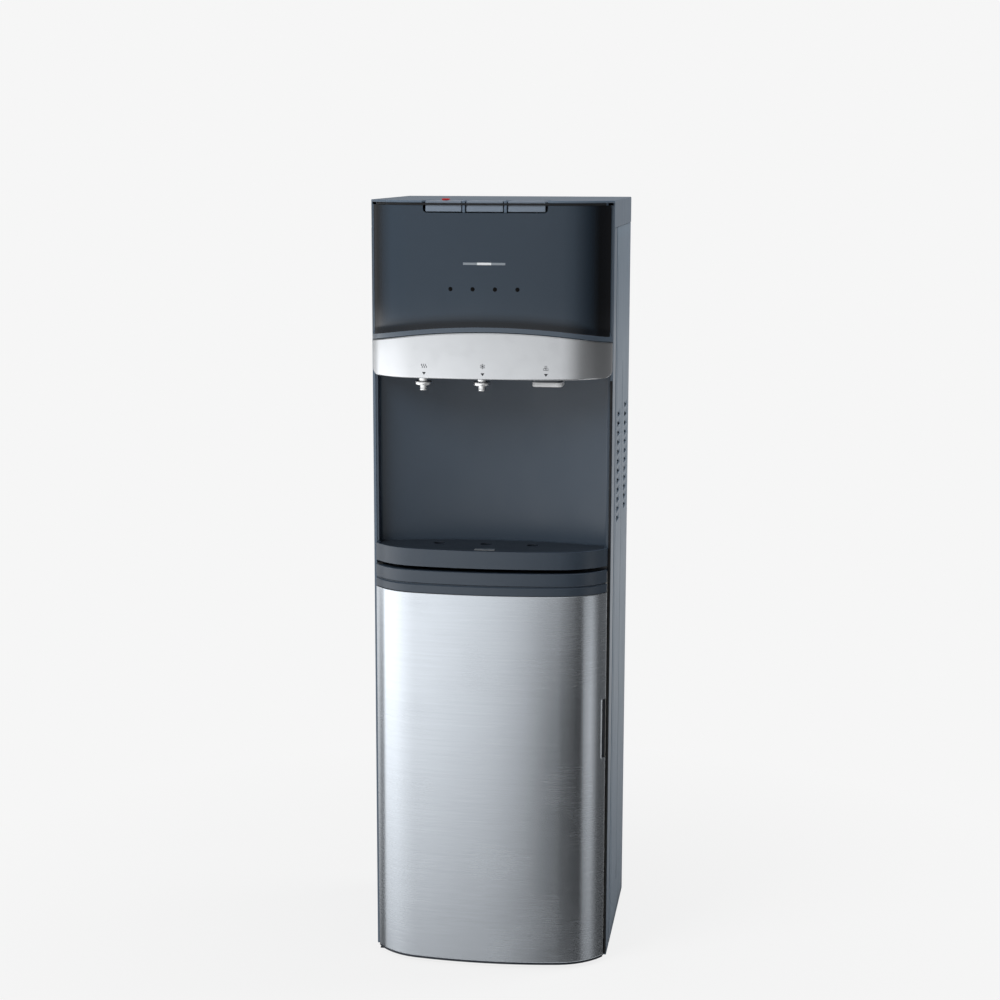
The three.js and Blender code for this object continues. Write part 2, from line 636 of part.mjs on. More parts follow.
function buildDrainPlug(parent) {
  const head = 5;
  const rear = backPlane - BACK_THICKNESS - GAP;
  const stem = rodAlongY(DRAIN_PLUG_RADIUS, rear - BASE_WALL - 4, backPlane + GAP + 1, 0, 0);
  const knob = rodAlongY(DRAIN_PLUG_RADIUS + 3, backPlane + GAP, backPlane + GAP + head, 0, 0, 12);
  const plug = made('drain_plug', join(stem, knob), rubber(), parent);
  plug.position.set(DRAIN_PLUG_X, 0, DRAIN_PLUG_LEVEL);
}

function buildShelf(parent) {
  const hollowHalf = columnInner - SHELF_RIM;
  const underside = block(-hollowHalf, hollowHalf, frontPlane + SHELF_RIM, innerRear - SHELF_RIM / 2,
    shelfLow - 1, shelfTop - SHELF_SKIN);
  const hingeSeat = block(-half, hingeX + HINGE_ARM + GAP, frontPlane - 1, frontPlane + 2.5 + GAP,
    hingeHighLow - GAP, hingeHighLow + HINGE_PLATE + GAP);
  const tongueReach = half - BOW_CORNER_SPAN + 25;
  const tongue = bowSolid(tongueReach, 14, frontPlane + 1, DOOR_TOP + HINGE_PLATE + 2 * GAP + 0.6, shelfTop);
  const hole = post(HOSE_HOLE, shelfLow - 1, shelfTop + 1, pumpX, frontPlane + PUMP_BACK);
  const shelf = cut(plan(floorOutline(), shelfLow, shelfTop), underside, hingeSeat, hole);
  made('machine_shelf', join(shelf, tongue), darkPlastic(), parent);
}

function buildBayLiner(parent) {
  const outer = columnInner - GAP;
  const rear = backPlane - BACK_THICKNESS - GAP;
  const front = frontPlane + LIP_THICKNESS + GAP;
  const r = LINER_CORNER_RADIUS;
  const t = LINER_THICKNESS;
  const cup = (reach, back, radius, z0, z1, lip) => plan([
    [reach, front - lip], ...arc(reach - radius, back - radius, radius, 0, 90, 5),
    ...arc(-reach + radius, back - radius, radius, 90, 180, 5), [-reach, front - lip],
  ], z0, z1);
  const low = baseRim + GAP;
  const high = shelfLow - GAP;
  const lips = [-1, 1].map((side) => {
    const [x0, x1] = [side * outer, side * (outer - LIP_WIDTH)].sort((a, b) => a - b);
    return block(x0, x1, frontPlane, front + 0.5, low, high);
  });
  const walls = cut(cup(outer, rear, r, low, high, 0), cup(outer - t, rear - t, r - t, low - 1, high + 1, 1));
  const shell = join(walls, ...lips);
  const bracketTop = probeCapLow - GAP;
  const bracket = cut(
    plan([[-outer + 0.5, probeY - PROBE_BRACKET], [probeX + PROBE_BRACKET, probeY + 6],
      [probeX + PROBE_BRACKET, rear - 0.5], [-outer + 0.5, rear - 0.5]],
      bracketTop - 3, bracketTop),
    post(PROBE_STRAW_RADIUS + 1, bracketTop - 4, bracketTop + 1, probeX, probeY, 16),
  );
  const trimmed = bracket.intersect(cup(outer - 0.2, rear - 0.2, r - 0.2, low, high, 0));
  made('bay_liner', join(shell, trimmed), whitePlastic(), parent);
}

function buildTopCover(parent) {
  const slab = bowSolid(half, 0, backPlane, coverLow, bodyHeight);
  const skirt = cut(
    block(-half, half, frontPlane, backPlane, coverSeam, coverLow + 1),
    block(-half + COVER_WALL, half - COVER_WALL, frontPlane - 1, backPlane - COVER_WALL,
      coverSeam - 1, coverLow + 2),
  );
  const rimLow = fasciaTop - 9;
  const rimInset = FRONT_WALL + 0.8;
  const rim = bowShell(half - 8, rimInset, 2, frontPlane - 3, rimLow, coverLow + 1);
  const keyRear = keyHingeY + KEY_BARREL + 1.6;
  const opening = block(KEY_ROW_X - recessHalf, KEY_ROW_X + recessHalf, frontLine - 1, keyRear,
    rimLow - 1, bodyHeight + 1);
  const ribs = [-0.5, 0.5].map((k) => {
    const x = KEY_ROW_X + k * KEY_PITCH;
    const width = (KEY_PITCH - KEY_WIDTH) / 2 - 1.2;
    const rib = block(x - width, x + width, frontLine, keyRear + 1, rimLow, bodyHeight);
    const hollow = block(x - width - 1, x + width + 1, frontLine + 20, keyRear + 2, rimLow - 1, coverLow);
    return cut(rib, hollow).intersect(bowSolid(half, keyInset - 1, backPlane, rimLow, bodyHeight + 1));
  });
  made('top_cover', join(cut(join(slab, skirt, rim), opening), ...ribs), slatePanel(), parent);
}

// ---------------------------------------------------------------- front of the upper part

function buildFascia(parent) {
  const reach = half - 0.2;
  const shell = bowShell(reach, 0, FRONT_WALL, frontPlane - GAP, bandArchEnd - 5, fasciaTop);
  const below = elevation(
    [...archPoints(half + 1, GAP), [half + 1, bandArchEnd - 40], [-half - 1, bandArchEnd - 40]],
    frontLine - 5, frontPlane + 5);
  const r = 5;
  const [left, right] = [KEY_ROW_X - recessHalf, KEY_ROW_X + recessHalf];
  const low = keyFaceLow - 1.2;
  const recess = elevation([[left, fasciaTop + 1], ...arc(left + r, low + r, r, 180, 270, 3),
    ...arc(right - r, low + r, r, 270, 360, 3), [right, fasciaTop + 1]], frontLine - 5, frontLine + 40);
  const pips = ledXs.map((x) => rodAlongY(LED_RADIUS + GAP, frontLine - 5, frontLine + 20, x, ledLevel, 12));
  const slot = block(STRIP_X - STRIP_WIDTH / 2 - GAP, STRIP_X + STRIP_WIDTH / 2 + GAP,
    frontLine - 5, frontLine + 20,
    stripLevel - STRIP_HEIGHT / 2 - GAP, stripLevel + STRIP_HEIGHT / 2 + GAP);
  made('front_fascia', cut(shell, below, recess, ...pips, slot), slate(), parent);
}

function buildBand(parent) {
  const reach = half - 0.2;
  const crown = bandArchEnd + BAND_ARCH_RISE;
  const shell = bowShell(reach, 0, FRONT_WALL, frontPlane - GAP, bandBottom, crown + 1);
  const r = 9;
  const outline = elevation([
    ...arc(-reach + r, bandBottom + r, r, 180, 270, 5), ...arc(reach - r, bandBottom + r, r, 270, 360, 5),
    ...archPoints(reach, 0).reverse(),
  ], frontLine - 5, frontPlane + 5);
  made('silver_band', shell.intersect(outline), silver(), parent);
}

// Clear comb on the control board: one bar and four pips that end flush with the fascia.
function buildLightGuide(parent) {
  const rear = frontLine + FRONT_WALL + 7;
  const back = block(ledXs[0] - 6, ledXs[3] + 6, rear, rear + 3, ledLevel - 4, ledLevel + 4);
  const pips = ledXs.map((x) =>
    rodAlongY(LED_RADIUS, frontLine + bowBack(x, 0) - 0.4, rear + 1, x, ledLevel, 12));
  const envelope = bowSolid(half, 0, frontPlane, ledLevel - 5, ledLevel + 5);
  made('light_guide', join(back, ...pips).intersect(envelope), clearPlastic(), parent);
}

function buildStatusStrip(parent) {
  const [low, high] = [stripLevel - STRIP_HEIGHT / 2, stripLevel + STRIP_HEIGHT / 2];
  const body = bowShell(half, 0, FRONT_WALL, frontPlane, low, high);
  const window = block(STRIP_X - STRIP_WIDTH / 2, STRIP_X + STRIP_WIDTH / 2, frontLine - 5, frontLine + 30,
    stripLevel - STRIP_HEIGHT, stripLevel + STRIP_HEIGHT);
  made('status_strip', body.intersect(window), clearPlastic(), parent);
}

function buildControlBoard(parent) {
  const front = frontLine + FRONT_WALL + 10 + GAP;
  const boardLow = ledLevel - 22;
  const boardHigh = stripLevel + 24;
  const board = block(ledXs[0] - BOARD_MARGIN, ledXs[3] + BOARD_MARGIN, front, front + 1.6,
    boardLow, boardHigh);
  const chips = [0, 1, 2].map((k) => {
    const x = ledXs[k] + LED_PITCH / 2;
    return block(x - CHIP_SIZE / 2, x + CHIP_SIZE / 2, front + 1, front + 1 + CHIP_HEIGHT,
      ledLevel, ledLevel + CHIP_SIZE);
  });
  made('control_board', join(board, ...chips), boardGreen(), parent);
}

function buildNicheLiner(parent) {
  const front = frontPlane + LIP_THICKNESS + GAP;
  const outline = (reach, behind, z0, z1, lip) => plan(
    [[-reach, front - lip], [reach, front - lip], ...nicheArc(reach, behind).reverse()], z0, z1);
  const high = plateLow - GAP;
  const outer = outline(columnInner - GAP, NICHE_WALL, trayLow, high, LIP_THICKNESS);
  const inner = outline(nicheHalf, 0, trayLow - 1, high + 1, LIP_THICKNESS + 1);
  made('niche_liner', cut(outer, inner), slate(), parent);
}

function buildOutletPlate(parent) {
  const rear = frontPlane + NICHE_BACK_MIDDLE + NICHE_WALL + 12;
  const reach = columnInner - GAP;
  const outline = [...bowPoints(half - FRONT_WALL - 2, FRONT_WALL + GAP).filter(([x]) => Math.abs(x) < reach),
    [reach, frontPlane - GAP], [reach, rear], [-reach, rear], [-reach, frontPlane - GAP]];
  const y = frontPlane - OUTLET_AHEAD;
  const bore = NOZZLE_SPOUT_RADIUS + 1 + GAP;
  const holes = [HOT_X, COLD_X].map((x) => post(bore, plateLow - 1, plateTop + 1, x, y));
  const mouth = block(ICE_X - CHUTE_WIDTH / 2 - GAP, ICE_X + CHUTE_WIDTH / 2 + GAP,
    y - CHUTE_DEPTH / 2 - GAP, y + CHUTE_DEPTH / 2 + GAP, plateLow - 1, plateTop + 1);
  made('outlet_plate', cut(plan(outline, plateLow, plateTop), ...holes, mouth), darkPlastic(), parent);
}

// Chromed spout: collar under the plate, stem through it, bored for the water.
function buildNozzle(name, x, parent) {
  const collarTop = -GAP;
  const collarLow = -NOZZLE_DROP - NOZZLE_FLANGE_LENGTH;
  const spoutLow = collarLow - NOZZLE_SPOUT_LENGTH;
  const stem = NOZZLE_SPOUT_RADIUS + 1;
  const stemTop = OUTLET_PLATE + 6;
  const edge = 1;
  const outline = [[NOZZLE_BORE, spoutLow], [NOZZLE_SPOUT_RADIUS - edge, spoutLow],
    [NOZZLE_SPOUT_RADIUS, spoutLow + edge], [NOZZLE_SPOUT_RADIUS, collarLow],
    [NOZZLE_FLANGE_RADIUS - edge, collarLow], [NOZZLE_FLANGE_RADIUS, collarLow + edge],
    [NOZZLE_FLANGE_RADIUS, collarTop], [stem, collarTop], [stem, stemTop], [NOZZLE_BORE, stemTop],
    [NOZZLE_BORE, spoutLow]];
  const nozzle = made(name, turned(outline, 16, 0, 0), chrome(), parent);
  nozzle.position.set(x, frontPlane - OUTLET_AHEAD, plateLow);
}

// Solenoid valve standing on the outlet plate, with its inlet pipe to the tank behind.
function buildValve(name, x, parent) {
  const stemTop = OUTLET_PLATE + 6;
  const low = stemTop + GAP;
  const body = block(-13, 13, -14, 14, low, low + 22);
  const coil = post(11, low + 21, low + 48, 0, 0, 16);
  const legs = [-11.5, 11.5].map((side) => block(side - 1.5, side + 1.5, -8, 8, OUTLET_PLATE + GAP, low + 1));
  const pipe = rodAlongY(4, 10, VALVE_PIPE, 0, low + 12, 10);
  const valve = made(name, join(body, coil, ...legs, pipe), whitePlastic(), parent);
  valve.position.set(x, frontPlane - OUTLET_AHEAD, plateLow);
}

// Ice passage: straight at the mouth, leaning back to the bin above; open at both ends.
function chuteProfile(t, over) {
  const d = CHUTE_DEPTH / 2 - t;
  return [[-d, -over], [d, -over], [d, CHUTE_BEND], [d + CHUTE_LEAN, chuteRise - 8],
    [d + CHUTE_LEAN, chuteRise + over],
    [-d + CHUTE_LEAN, chuteRise + over], [-d + CHUTE_LEAN, chuteRise - 8], [-d, CHUTE_BEND]];
}

function buildChute(parent) {
  const w = CHUTE_WIDTH / 2;
  const outer = profile(chuteProfile(0, 0), -w, w);
  const inner = profile(chuteProfile(CHUTE_WALL, 1), -w + CHUTE_WALL, w - CHUTE_WALL);
  const pivot = rodAlongX(FLAP_PIN + 0.3, -w - 1, w + 1, FLAP_PIN_BACK, FLAP_PIN_LEVEL, 12);
  const chute = made('ice_chute', cut(outer, inner, pivot), chrome(), parent);
  chute.position.set(ICE_X, frontPlane - OUTLET_AHEAD, plateLow - CHUTE_DROP);
}

function buildFlap(parent) {
  const width = CHUTE_WIDTH / 2 - CHUTE_WALL - 0.8;
  const slope = THREE.MathUtils.degToRad(FLAP_SLOPE);
  const length = (CHUTE_DEPTH - 2 * CHUTE_WALL - 4.5) / Math.cos(slope);
  const leaf = block(-width, width, -length, 0, -1, 1);
  const pin = rodAlongX(FLAP_PIN, -CHUTE_WIDTH / 2, CHUTE_WIDTH / 2, 0, 0, 12);
  const flap = made('ice_flap', join(leaf, pin), greyPlastic(), parent);
  flap.rotation.x = slope;
  flap.position.set(ICE_X, frontPlane - OUTLET_AHEAD + FLAP_PIN_BACK, plateLow - CHUTE_DROP + FLAP_PIN_LEVEL);
}

function buildTray(parent) {
  const wall = TRAY_WALL;
  const side = nicheHalf - 0.5;
  const shoulder = frontPlane - 1;
  const body = plan([...bowPoints(doorHalf, 0), [doorHalf, shoulder], [side, shoulder],
    ...nicheArc(side, -0.6).reverse(), [-side, shoulder], [-doorHalf, shoulder]], trayLow, trayTop);
  const inside = (shrink, z0, z1) => plan(
    [...bowPoints(side - shrink, shrink), ...nicheArc(side - shrink, -0.6 - shrink).reverse()], z0, z1);
  const rim = 3;
  const gridLow = trayTop - GRID_THICKNESS - 0.7;
  const bowl = cut(body, inside(wall + 1.5, trayLow + wall, trayTop + 1),
    inside(rim, gridLow - GAP, trayTop + 1));
  made('drip_tray', bowl, darkPlastic(), parent);
  const drains = DRAIN_XS.map((x) =>
    post(DRAIN_RADIUS, gridLow - 1, trayTop + 1, x, frontPlane + DRAIN_BACK, 18));
  const gridTop = gridLow + GRID_THICKNESS;
  const y = frontLine + TRAY_BAR_BACK;
  const inlay = (spare, z0, z1) => block(TRAY_BAR_X - TRAY_BAR_WIDTH / 2 - spare,
    TRAY_BAR_X + TRAY_BAR_WIDTH / 2 + spare, y - spare, y + TRAY_BAR_DEPTH + spare, z0, z1);
  const barLow = gridTop - TRAY_BAR_SINK - TRAY_BAR_HEIGHT;
  const plate = inside(rim + GRID_CLEARANCE, gridLow, gridTop);
  made('drip_grid', cut(plate, inlay(GAP, barLow - GAP, gridTop + 1), ...drains), darkPlastic(), parent);
  made('tray_bar', inlay(0, barLow, barLow + TRAY_BAR_HEIGHT), silver(), parent);
}

// ---------------------------------------------------------------- door, placed at its hinge axis

function buildDoor(parent) {
  const door = new THREE.Group();
  door.position.set(hingeX, hingeY, 0);
  parent.add(door);
  const local = (name, manifold, material) => {
    const mesh = made(name, manifold, material, door);
    mesh.geometry.translate(-hingeX, -hingeY, 0);
  };
  const gripHigh = GRIP_LOW + GRIP_HEIGHT;
  const skinInner = SKIN_THICKNESS + GAP;
  const notch = block(doorHalf - GRIP_NOTCH, doorHalf + 1, frontLine, doorBack + 1, GRIP_LOW, gripHigh);
  const sheet = bowShell(doorHalf, 0, SKIN_THICKNESS, doorBack - DOOR_BEVEL, steelLow, STEEL_TOP);
  local('door_skin', cut(sheet, notch), brushedSteel());

  const linerHalf = doorHalf - skinInner;
  const hollowHalf = linerHalf - DOOR_STILE;
  const lip = doorSolid(0.5, doorLow, steelLow - GAP);
  const core = doorSolid(skinInner, doorLow + 1, STEEL_TOP - GAP);
  const hollow = bowSolid(hollowHalf, skinInner + DOOR_WALL, doorBack + 1,
    steelLow + DOOR_RAIL, STEEL_TOP - DOOR_RAIL);
  const grip = block(doorHalf - GRIP_REACH, doorHalf + 1, doorBack - GRIP_DEPTH, doorBack + 1,
    GRIP_LOW, gripHigh);
  const edge = block(doorHalf - GRIP_NOTCH - GAP, doorHalf + 1, frontLine, doorBack + 1, GRIP_LOW, gripHigh);
  const pinHole = (z0, z1) => post(HINGE_PIN_RADIUS + GAP, z0, z1, hingeX, hingeY, 16);
  const lowHole = pinHole(doorLow - 1, hingeLowTop + HINGE_PIN_LENGTH + 1);
  local('door_liner', cut(join(lip, core), hollow, grip, edge, lowHole), greyPlastic());

  const cap = doorSolid(0, STEEL_TOP + GAP, DOOR_TOP);
  const pocket = block(-doorHalf + 40, doorHalf - 40, frontPlane - 30, doorBack + 1,
    STEEL_TOP + 5, DOOR_TOP - 4);
  const groove = cut(
    bowSolid(doorHalf + 1, -1, doorBack + 1, capGrooveLevel - CAP_GROOVE_HEIGHT / 2,
      capGrooveLevel + CAP_GROOVE_HEIGHT / 2),
    bowSolid(doorHalf - CAP_GROOVE_DEPTH, CAP_GROOVE_DEPTH, doorBack + 2, capGrooveLevel - CAP_GROOVE_HEIGHT,
      capGrooveLevel + CAP_GROOVE_HEIGHT),
  );
  const upperHole = pinHole(hingeHighLow - HINGE_PIN_LENGTH - 1, DOOR_TOP + 1);
  local('door_cap', cut(cap, pocket, groove, upperHole), darkPlastic());

  const sealHalf = doorHalf - 5;
  const [sealLow, sealHigh] = [doorLow + 8, DOOR_TOP - 1];
  const ring = cut(
    block(-sealHalf, sealHalf, doorBack + GAP, frontPlane - GAP, sealLow, sealHigh),
    block(-sealHalf + GASKET_WIDTH, sealHalf - GASKET_WIDTH, doorBack, frontPlane, sealLow + GASKET_WIDTH,
      sealHigh - GASKET_WIDTH),
  );
  const gripGap = block(doorHalf - GRIP_REACH, doorHalf, doorBack, frontPlane, GRIP_LOW, gripHigh);
  const detour = block(sealHalf - GASKET_WIDTH - 10, doorHalf - GRIP_REACH, doorBack + GAP, frontPlane - GAP,
    GRIP_LOW - GASKET_WIDTH, gripHigh + GASKET_WIDTH);
  const arms = [GRIP_LOW - GASKET_WIDTH, gripHigh].map((z) =>
    block(sealHalf - GASKET_WIDTH - 10, sealHalf, doorBack + GAP, frontPlane - GAP, z, z + GASKET_WIDTH));
  local('door_gasket', join(cut(ring, gripGap), detour, ...arms), rubber());
}

function buildHinges(parent) {
  const arm = (z0, rear) => plan([[hingeX - 4, hingeY - 4], [hingeX + 4, hingeY - 4],
    [hingeX + HINGE_ARM, hingeY + 5],
    [hingeX + HINGE_ARM, rear], [hingeX - 4, rear]], z0, z0 + HINGE_PLATE);
  const upper = join(arm(hingeHighLow, frontPlane + 2.5),
    post(HINGE_PIN_RADIUS, hingeHighLow - HINGE_PIN_LENGTH, hingeHighLow + 0.5, hingeX, hingeY, 16));
  made('upper_hinge', upper, zinc(), parent);
  const lower = join(arm(hingeLowTop - HINGE_PLATE, frontPlane + 14),
    post(HINGE_PIN_RADIUS, hingeLowTop - 0.5, hingeLowTop + HINGE_PIN_LENGTH, hingeX, hingeY, 16));
  made('lower_hinge', lower, zinc(), parent);
}

function buildMagnet(parent) {
  const nose = doorBack + GAP;
  const high = shelfLow - GAP;
  const outline = [[nose, high - 27], [frontPlane + 22, high - 27],
    [frontPlane + 22, high], [frontPlane + 3, high],
    [frontPlane + 3, high - 14], [nose, high - 14]];
  made('door_magnet', profile(outline, 96, 128), darkPlastic(), parent);
}

// ---------------------------------------------------------------- keys

function buildKeyHousing(parent) {
  const low = keyHingeZ - 22;
  const reach = recessHalf + 2;
  const plate = bowSolid(half, FRONT_WALL + GAP, frontPlane + 10, low, low + 3).intersect(
    block(KEY_ROW_X - reach, KEY_ROW_X + reach, frontLine - 1, keyHingeY + 8, low - 1, low + 4));
  const [left, right] = [KEY_ROW_X - reach, KEY_ROW_X + reach];
  const rail = block(left, right, keyHingeY - 6, keyHingeY + 7.9, low + 2, keyHingeZ - 0.4);
  const groove = rodAlongX(KEY_BARREL + GAP, left - 1, right + 1, keyHingeY, keyHingeZ, 16);
  const switches = [-1, 0, 1].map((k) => {
    const x = KEY_ROW_X + k * KEY_PITCH;
    return block(x - 10, x + 10, keyHingeY - 28, keyHingeY - 18, low + 2, keyHingeZ - 3);
  });
  made('key_housing', join(cut(join(plate, rail), groove), ...switches), darkPlastic(), parent);
}

// A key hinges on a barrel at its rear; its face follows the bow, behind the fascia's skin.
function buildKey(name, x, parent, slotted) {
  const top = KEY_DROP;
  const reach = KEY_BACK + 1;
  const shell = join(
    block(-KEY_WIDTH / 2, KEY_WIDTH / 2, -reach, KEY_BARREL, top - KEY_WALL, top),
    block(-KEY_WIDTH / 2, KEY_WIDTH / 2, -KEY_BARREL, KEY_BARREL, 0, top - 1),
    rodAlongX(KEY_BARREL, -KEY_WIDTH / 2, KEY_WIDTH / 2, 0, 0, 16),
  );
  const low = top - KEY_FACE;
  const faceOf = (inset, z0, z1) =>
    bowSolid(keyReach, inset, frontPlane, z0, z1).translate([-x, -keyHingeY, 0]);
  const span = block(-KEY_WIDTH / 2, KEY_WIDTH / 2, -reach - 10, -KEY_BACK / 2, low, top);
  const face = cut(faceOf(keyInset, low, top), faceOf(keyInset + KEY_WALL, low - 1, top + 1)).intersect(span);
  let key = join(shell.intersect(faceOf(keyInset, -10, 20)), face);
  if (slotted) {
    const y = frontLine + LOCK_BACK - keyHingeY;
    key = cut(key, block(-LOCK_NECK / 2 - GAP, LOCK_NECK / 2 + GAP, y - LOCK_NECK / 2 - GAP,
      y + LOCK_NECK / 2 + LOCK_TRAVEL + GAP, top - KEY_WALL - 1, top + 1));
  }
  const mesh = made(name, key, slatePanel(), parent);
  mesh.position.set(x, keyHingeY, keyHingeZ);
}

function buildChildLock(parent) {
  const plate = KEY_WALL + GAP;
  const head = block(-LOCK_WIDTH / 2, LOCK_WIDTH / 2, -LOCK_LENGTH / 2, LOCK_LENGTH / 2,
    GAP, LOCK_RISE + KEY_SINK);
  const neck = block(-LOCK_NECK / 2, LOCK_NECK / 2, -LOCK_NECK / 2, LOCK_NECK / 2, -plate - 1, GAP + 0.5);
  const foot = block(-LOCK_WIDTH / 2, LOCK_WIDTH / 2, -LOCK_NECK / 2, LOCK_NECK / 2, -plate - 1.8, -plate);
  const lock = made('child_lock', join(head, neck, foot), redPlastic(), parent);
  lock.position.set(KEY_ROW_X - KEY_PITCH, frontLine + LOCK_BACK, keyTop);
}

// ---------------------------------------------------------------- cooling, heating and ice

function buildCompressor(parent) {
  const low = 12;
  const r = COMPRESSOR_RADIUS;
  const crown = COMPRESSOR_HEIGHT;
  const outline = [[0, low], [r - 12, low], [r - 3, low + 10], [r - 3, low + 50],
    [r, low + 52], [r, low + 58],
    [r - 3, low + 60], [r - 3, crown - 34], [r - 12, crown - 14], [r - 32, crown - 2], [0, crown]];
  const bodyShell = turned(outline, 20, 0, 0);
  const plate = block(-r - COMPRESSOR_PLATE, r + COMPRESSOR_PLATE, -42, 42, low - 5, low + 1);
  const mounts = [[-1, -1], [1, -1], [1, 1], [-1, 1]].map(([i, j]) =>
    post(8, GAP, low - 4, i * (r + 2), j * 32, 12));
  const box = block(-r - 14, -r + 14, -18, 18, low + 55, low + 95);
  const compressor = made('compressor', join(bodyShell, plate, ...mounts, box), blackSteel(), parent);
  compressor.position.set(compressorX, frontPlane + COMPRESSOR_BACK, shelfTop);
}

function buildHotTank(parent) {
  const r = HOT_TANK_RADIUS;
  const low = HOT_TANK_LEGS;
  const high = low + HOT_TANK_HEIGHT;
  const t = TANK_WALL;
  const outline = [[0, low], [r - 8, low], [r, low + 8], [r, high - 8], [r - 8, high], [HEATER_HOLE, high],
    [HEATER_HOLE, high - t], [r - 8, high - t], [r - t, high - 8],
    [r - t, low + 8], [r - 8, low + t], [0, low + t]];
  const legs = [0, 120, 240].map((degrees) => {
    const turn = THREE.MathUtils.degToRad(degrees);
    return post(4, GAP, low + 0.8, (r - 14) * Math.cos(turn), (r - 14) * Math.sin(turn), 10);
  });
  const tank = made('hot_tank', join(turned(outline, 20, 0, 0), ...legs), brushedSteel(), parent);
  tank.position.set(hotTankX, frontPlane + HOT_TANK_BACK, shelfTop);
  const element = bar([[-8, 0, high], [-8, 0, low + 60], [-6, 0, low + 40],
    [0, 0, low + 32], [6, 0, low + 40],
    [8, 0, low + 60], [8, 0, high]], 3.2, 6, 18);
  const flange = turned([[0, high - 4], [HEATER_HOLE - GAP, high - 4], [HEATER_HOLE - GAP, high + GAP],
    [HEATER_HOLE + 6, high + GAP], [HEATER_HOLE + 6, high + 5], [0, high + 5]], 18, 0, 0);
  const terminals = [-6, 6].map((x) => block(x - 2, x + 2, -0.5, 0.5, high + 4, high + 13));
  const heater = made('heating_element', join(flange, element, ...terminals), zinc(), parent);
  heater.position.set(hotTankX, frontPlane + HOT_TANK_BACK, shelfTop);
}

function buildColdTank(parent) {
  const r = COLD_TANK_RADIUS;
  const h = COLD_TANK_HEIGHT;
  const place = (mesh) => mesh.position.set(coldTankX, frontPlane + COLD_TANK_BACK, coldTankLow);
  const t = TANK_WALL;
  place(made('cold_tank', turned([[0, 0], [r - 6, 0], [r, 6], [r, h - 6], [r - 6, h], [12, h], [12, h - t],
    [r - 6, h - t], [r - t, h - 6], [r - t, 6], [r - 6, t], [0, t]], 20, 0, 0), brushedSteel(), parent));

  const coilRadius = r + 1 + GAP + COIL_TUBE_RADIUS;
  const pitch = (h - 40) / COIL_TURNS;
  const stepsPerTurn = 16;
  const turns = Array.from({ length: COIL_TURNS * stepsPerTurn + 1 }, (_, k) => {
    const turn = (2 * Math.PI * k) / stepsPerTurn;
    return [coilRadius * Math.cos(turn), coilRadius * Math.sin(turn), 20 + (pitch * k) / stepsPerTurn];
  });
  const coil = bar(turns, COIL_TUBE_RADIUS - 0.2, 5, COIL_TURNS * stepsPerTurn);
  place(made('evaporator_coil', coil, copper(), parent));

  const inner = coilRadius + COIL_TUBE_RADIUS + GAP;
  const outer = foamRadius;
  const bottom = -GAP - FOAM_THICKNESS;
  const lid = h + GAP;
  const jacket = turned([[0, bottom], [outer, bottom], [outer, lid + 8], [14, lid + 8], [14, lid],
    [inner, lid], [inner, -GAP], [0, -GAP]], 24, 0, 0);
  place(made('tank_insulation', jacket, foam(), parent));
}

function buildUpperDeck(parent) {
  const outer = foamRadius;
  const top = coldTankLow - GAP - FOAM_THICKNESS - GAP;
  const y = frontPlane + COLD_TANK_BACK;
  const reach = columnInner - GAP;
  const r = PANEL_EDGE_RADIUS;
  const outline = [[-reach, y - outer + 4], [reach, y - outer + 4],
    [reach, innerRear - r], [reach - r, innerRear],
    [-reach + r, innerRear], [-reach, innerRear - r]];
  const deck = cut(plan(outline, top - 3, top),
    block(45, reach - 20, y - outer + 20, backPlane - 20, top - 4, top + 1));
  const rail = (x) => block(x - 2, x + 2, y - outer + 4, innerRear - r, top - 14, top - 2);
  const walls = [ICE_X - 34, ICE_X + 34].map((x) => block(x - 2, x + 2, y - outer + 4, y - outer + 16,
    top - 1, binLow - GAP));
  made('upper_deck', join(deck, rail(-reach + 2), rail(reach - 2), ...walls), zinc(), parent);
}

// Tub with a round trough for the auger and a drop hole over the chute at its front end.
function buildBin(parent) {
  const w = BIN_WIDTH / 2;
  const r = AUGER_RADIUS + 2.5;
  const section = (t, over) => [[-w + t, BIN_HEIGHT + over], [-w + t, BIN_HEIGHT * 0.55],
    [-r - BIN_WALL + t, augerLevel],
    ...arc(0, augerLevel, r + BIN_WALL - t, 180, 360, 8).slice(1, -1), [r + BIN_WALL - t, augerLevel],
    [w - t, BIN_HEIGHT * 0.55], [w - t, BIN_HEIGHT + over]];
  const outer = elevation(section(0, 0), 0, BIN_LENGTH);
  const inner = elevation(section(BIN_WALL, 1), BIN_WALL, BIN_LENGTH - BIN_WALL);
  const d = CHUTE_DEPTH / 2 - CHUTE_WALL;
  const dropY = frontPlane - OUTLET_AHEAD + CHUTE_LEAN - binFront;
  const drop = block(-r + 6, r - 6, Math.max(BIN_WALL + 1, dropY - d), dropY + d, -1, augerLevel - 8);
  const bearings = [-1, BIN_LENGTH - BIN_WALL - 1].map((y) =>
    rodAlongY(AUGER_SHAFT + GAP, y, y + BIN_WALL + 2, 0, augerLevel, 12));
  const bin = made('ice_bin', cut(outer, inner, drop, ...bearings), whitePlastic(), parent);
  bin.position.set(ICE_X, binFront, binLow);
}

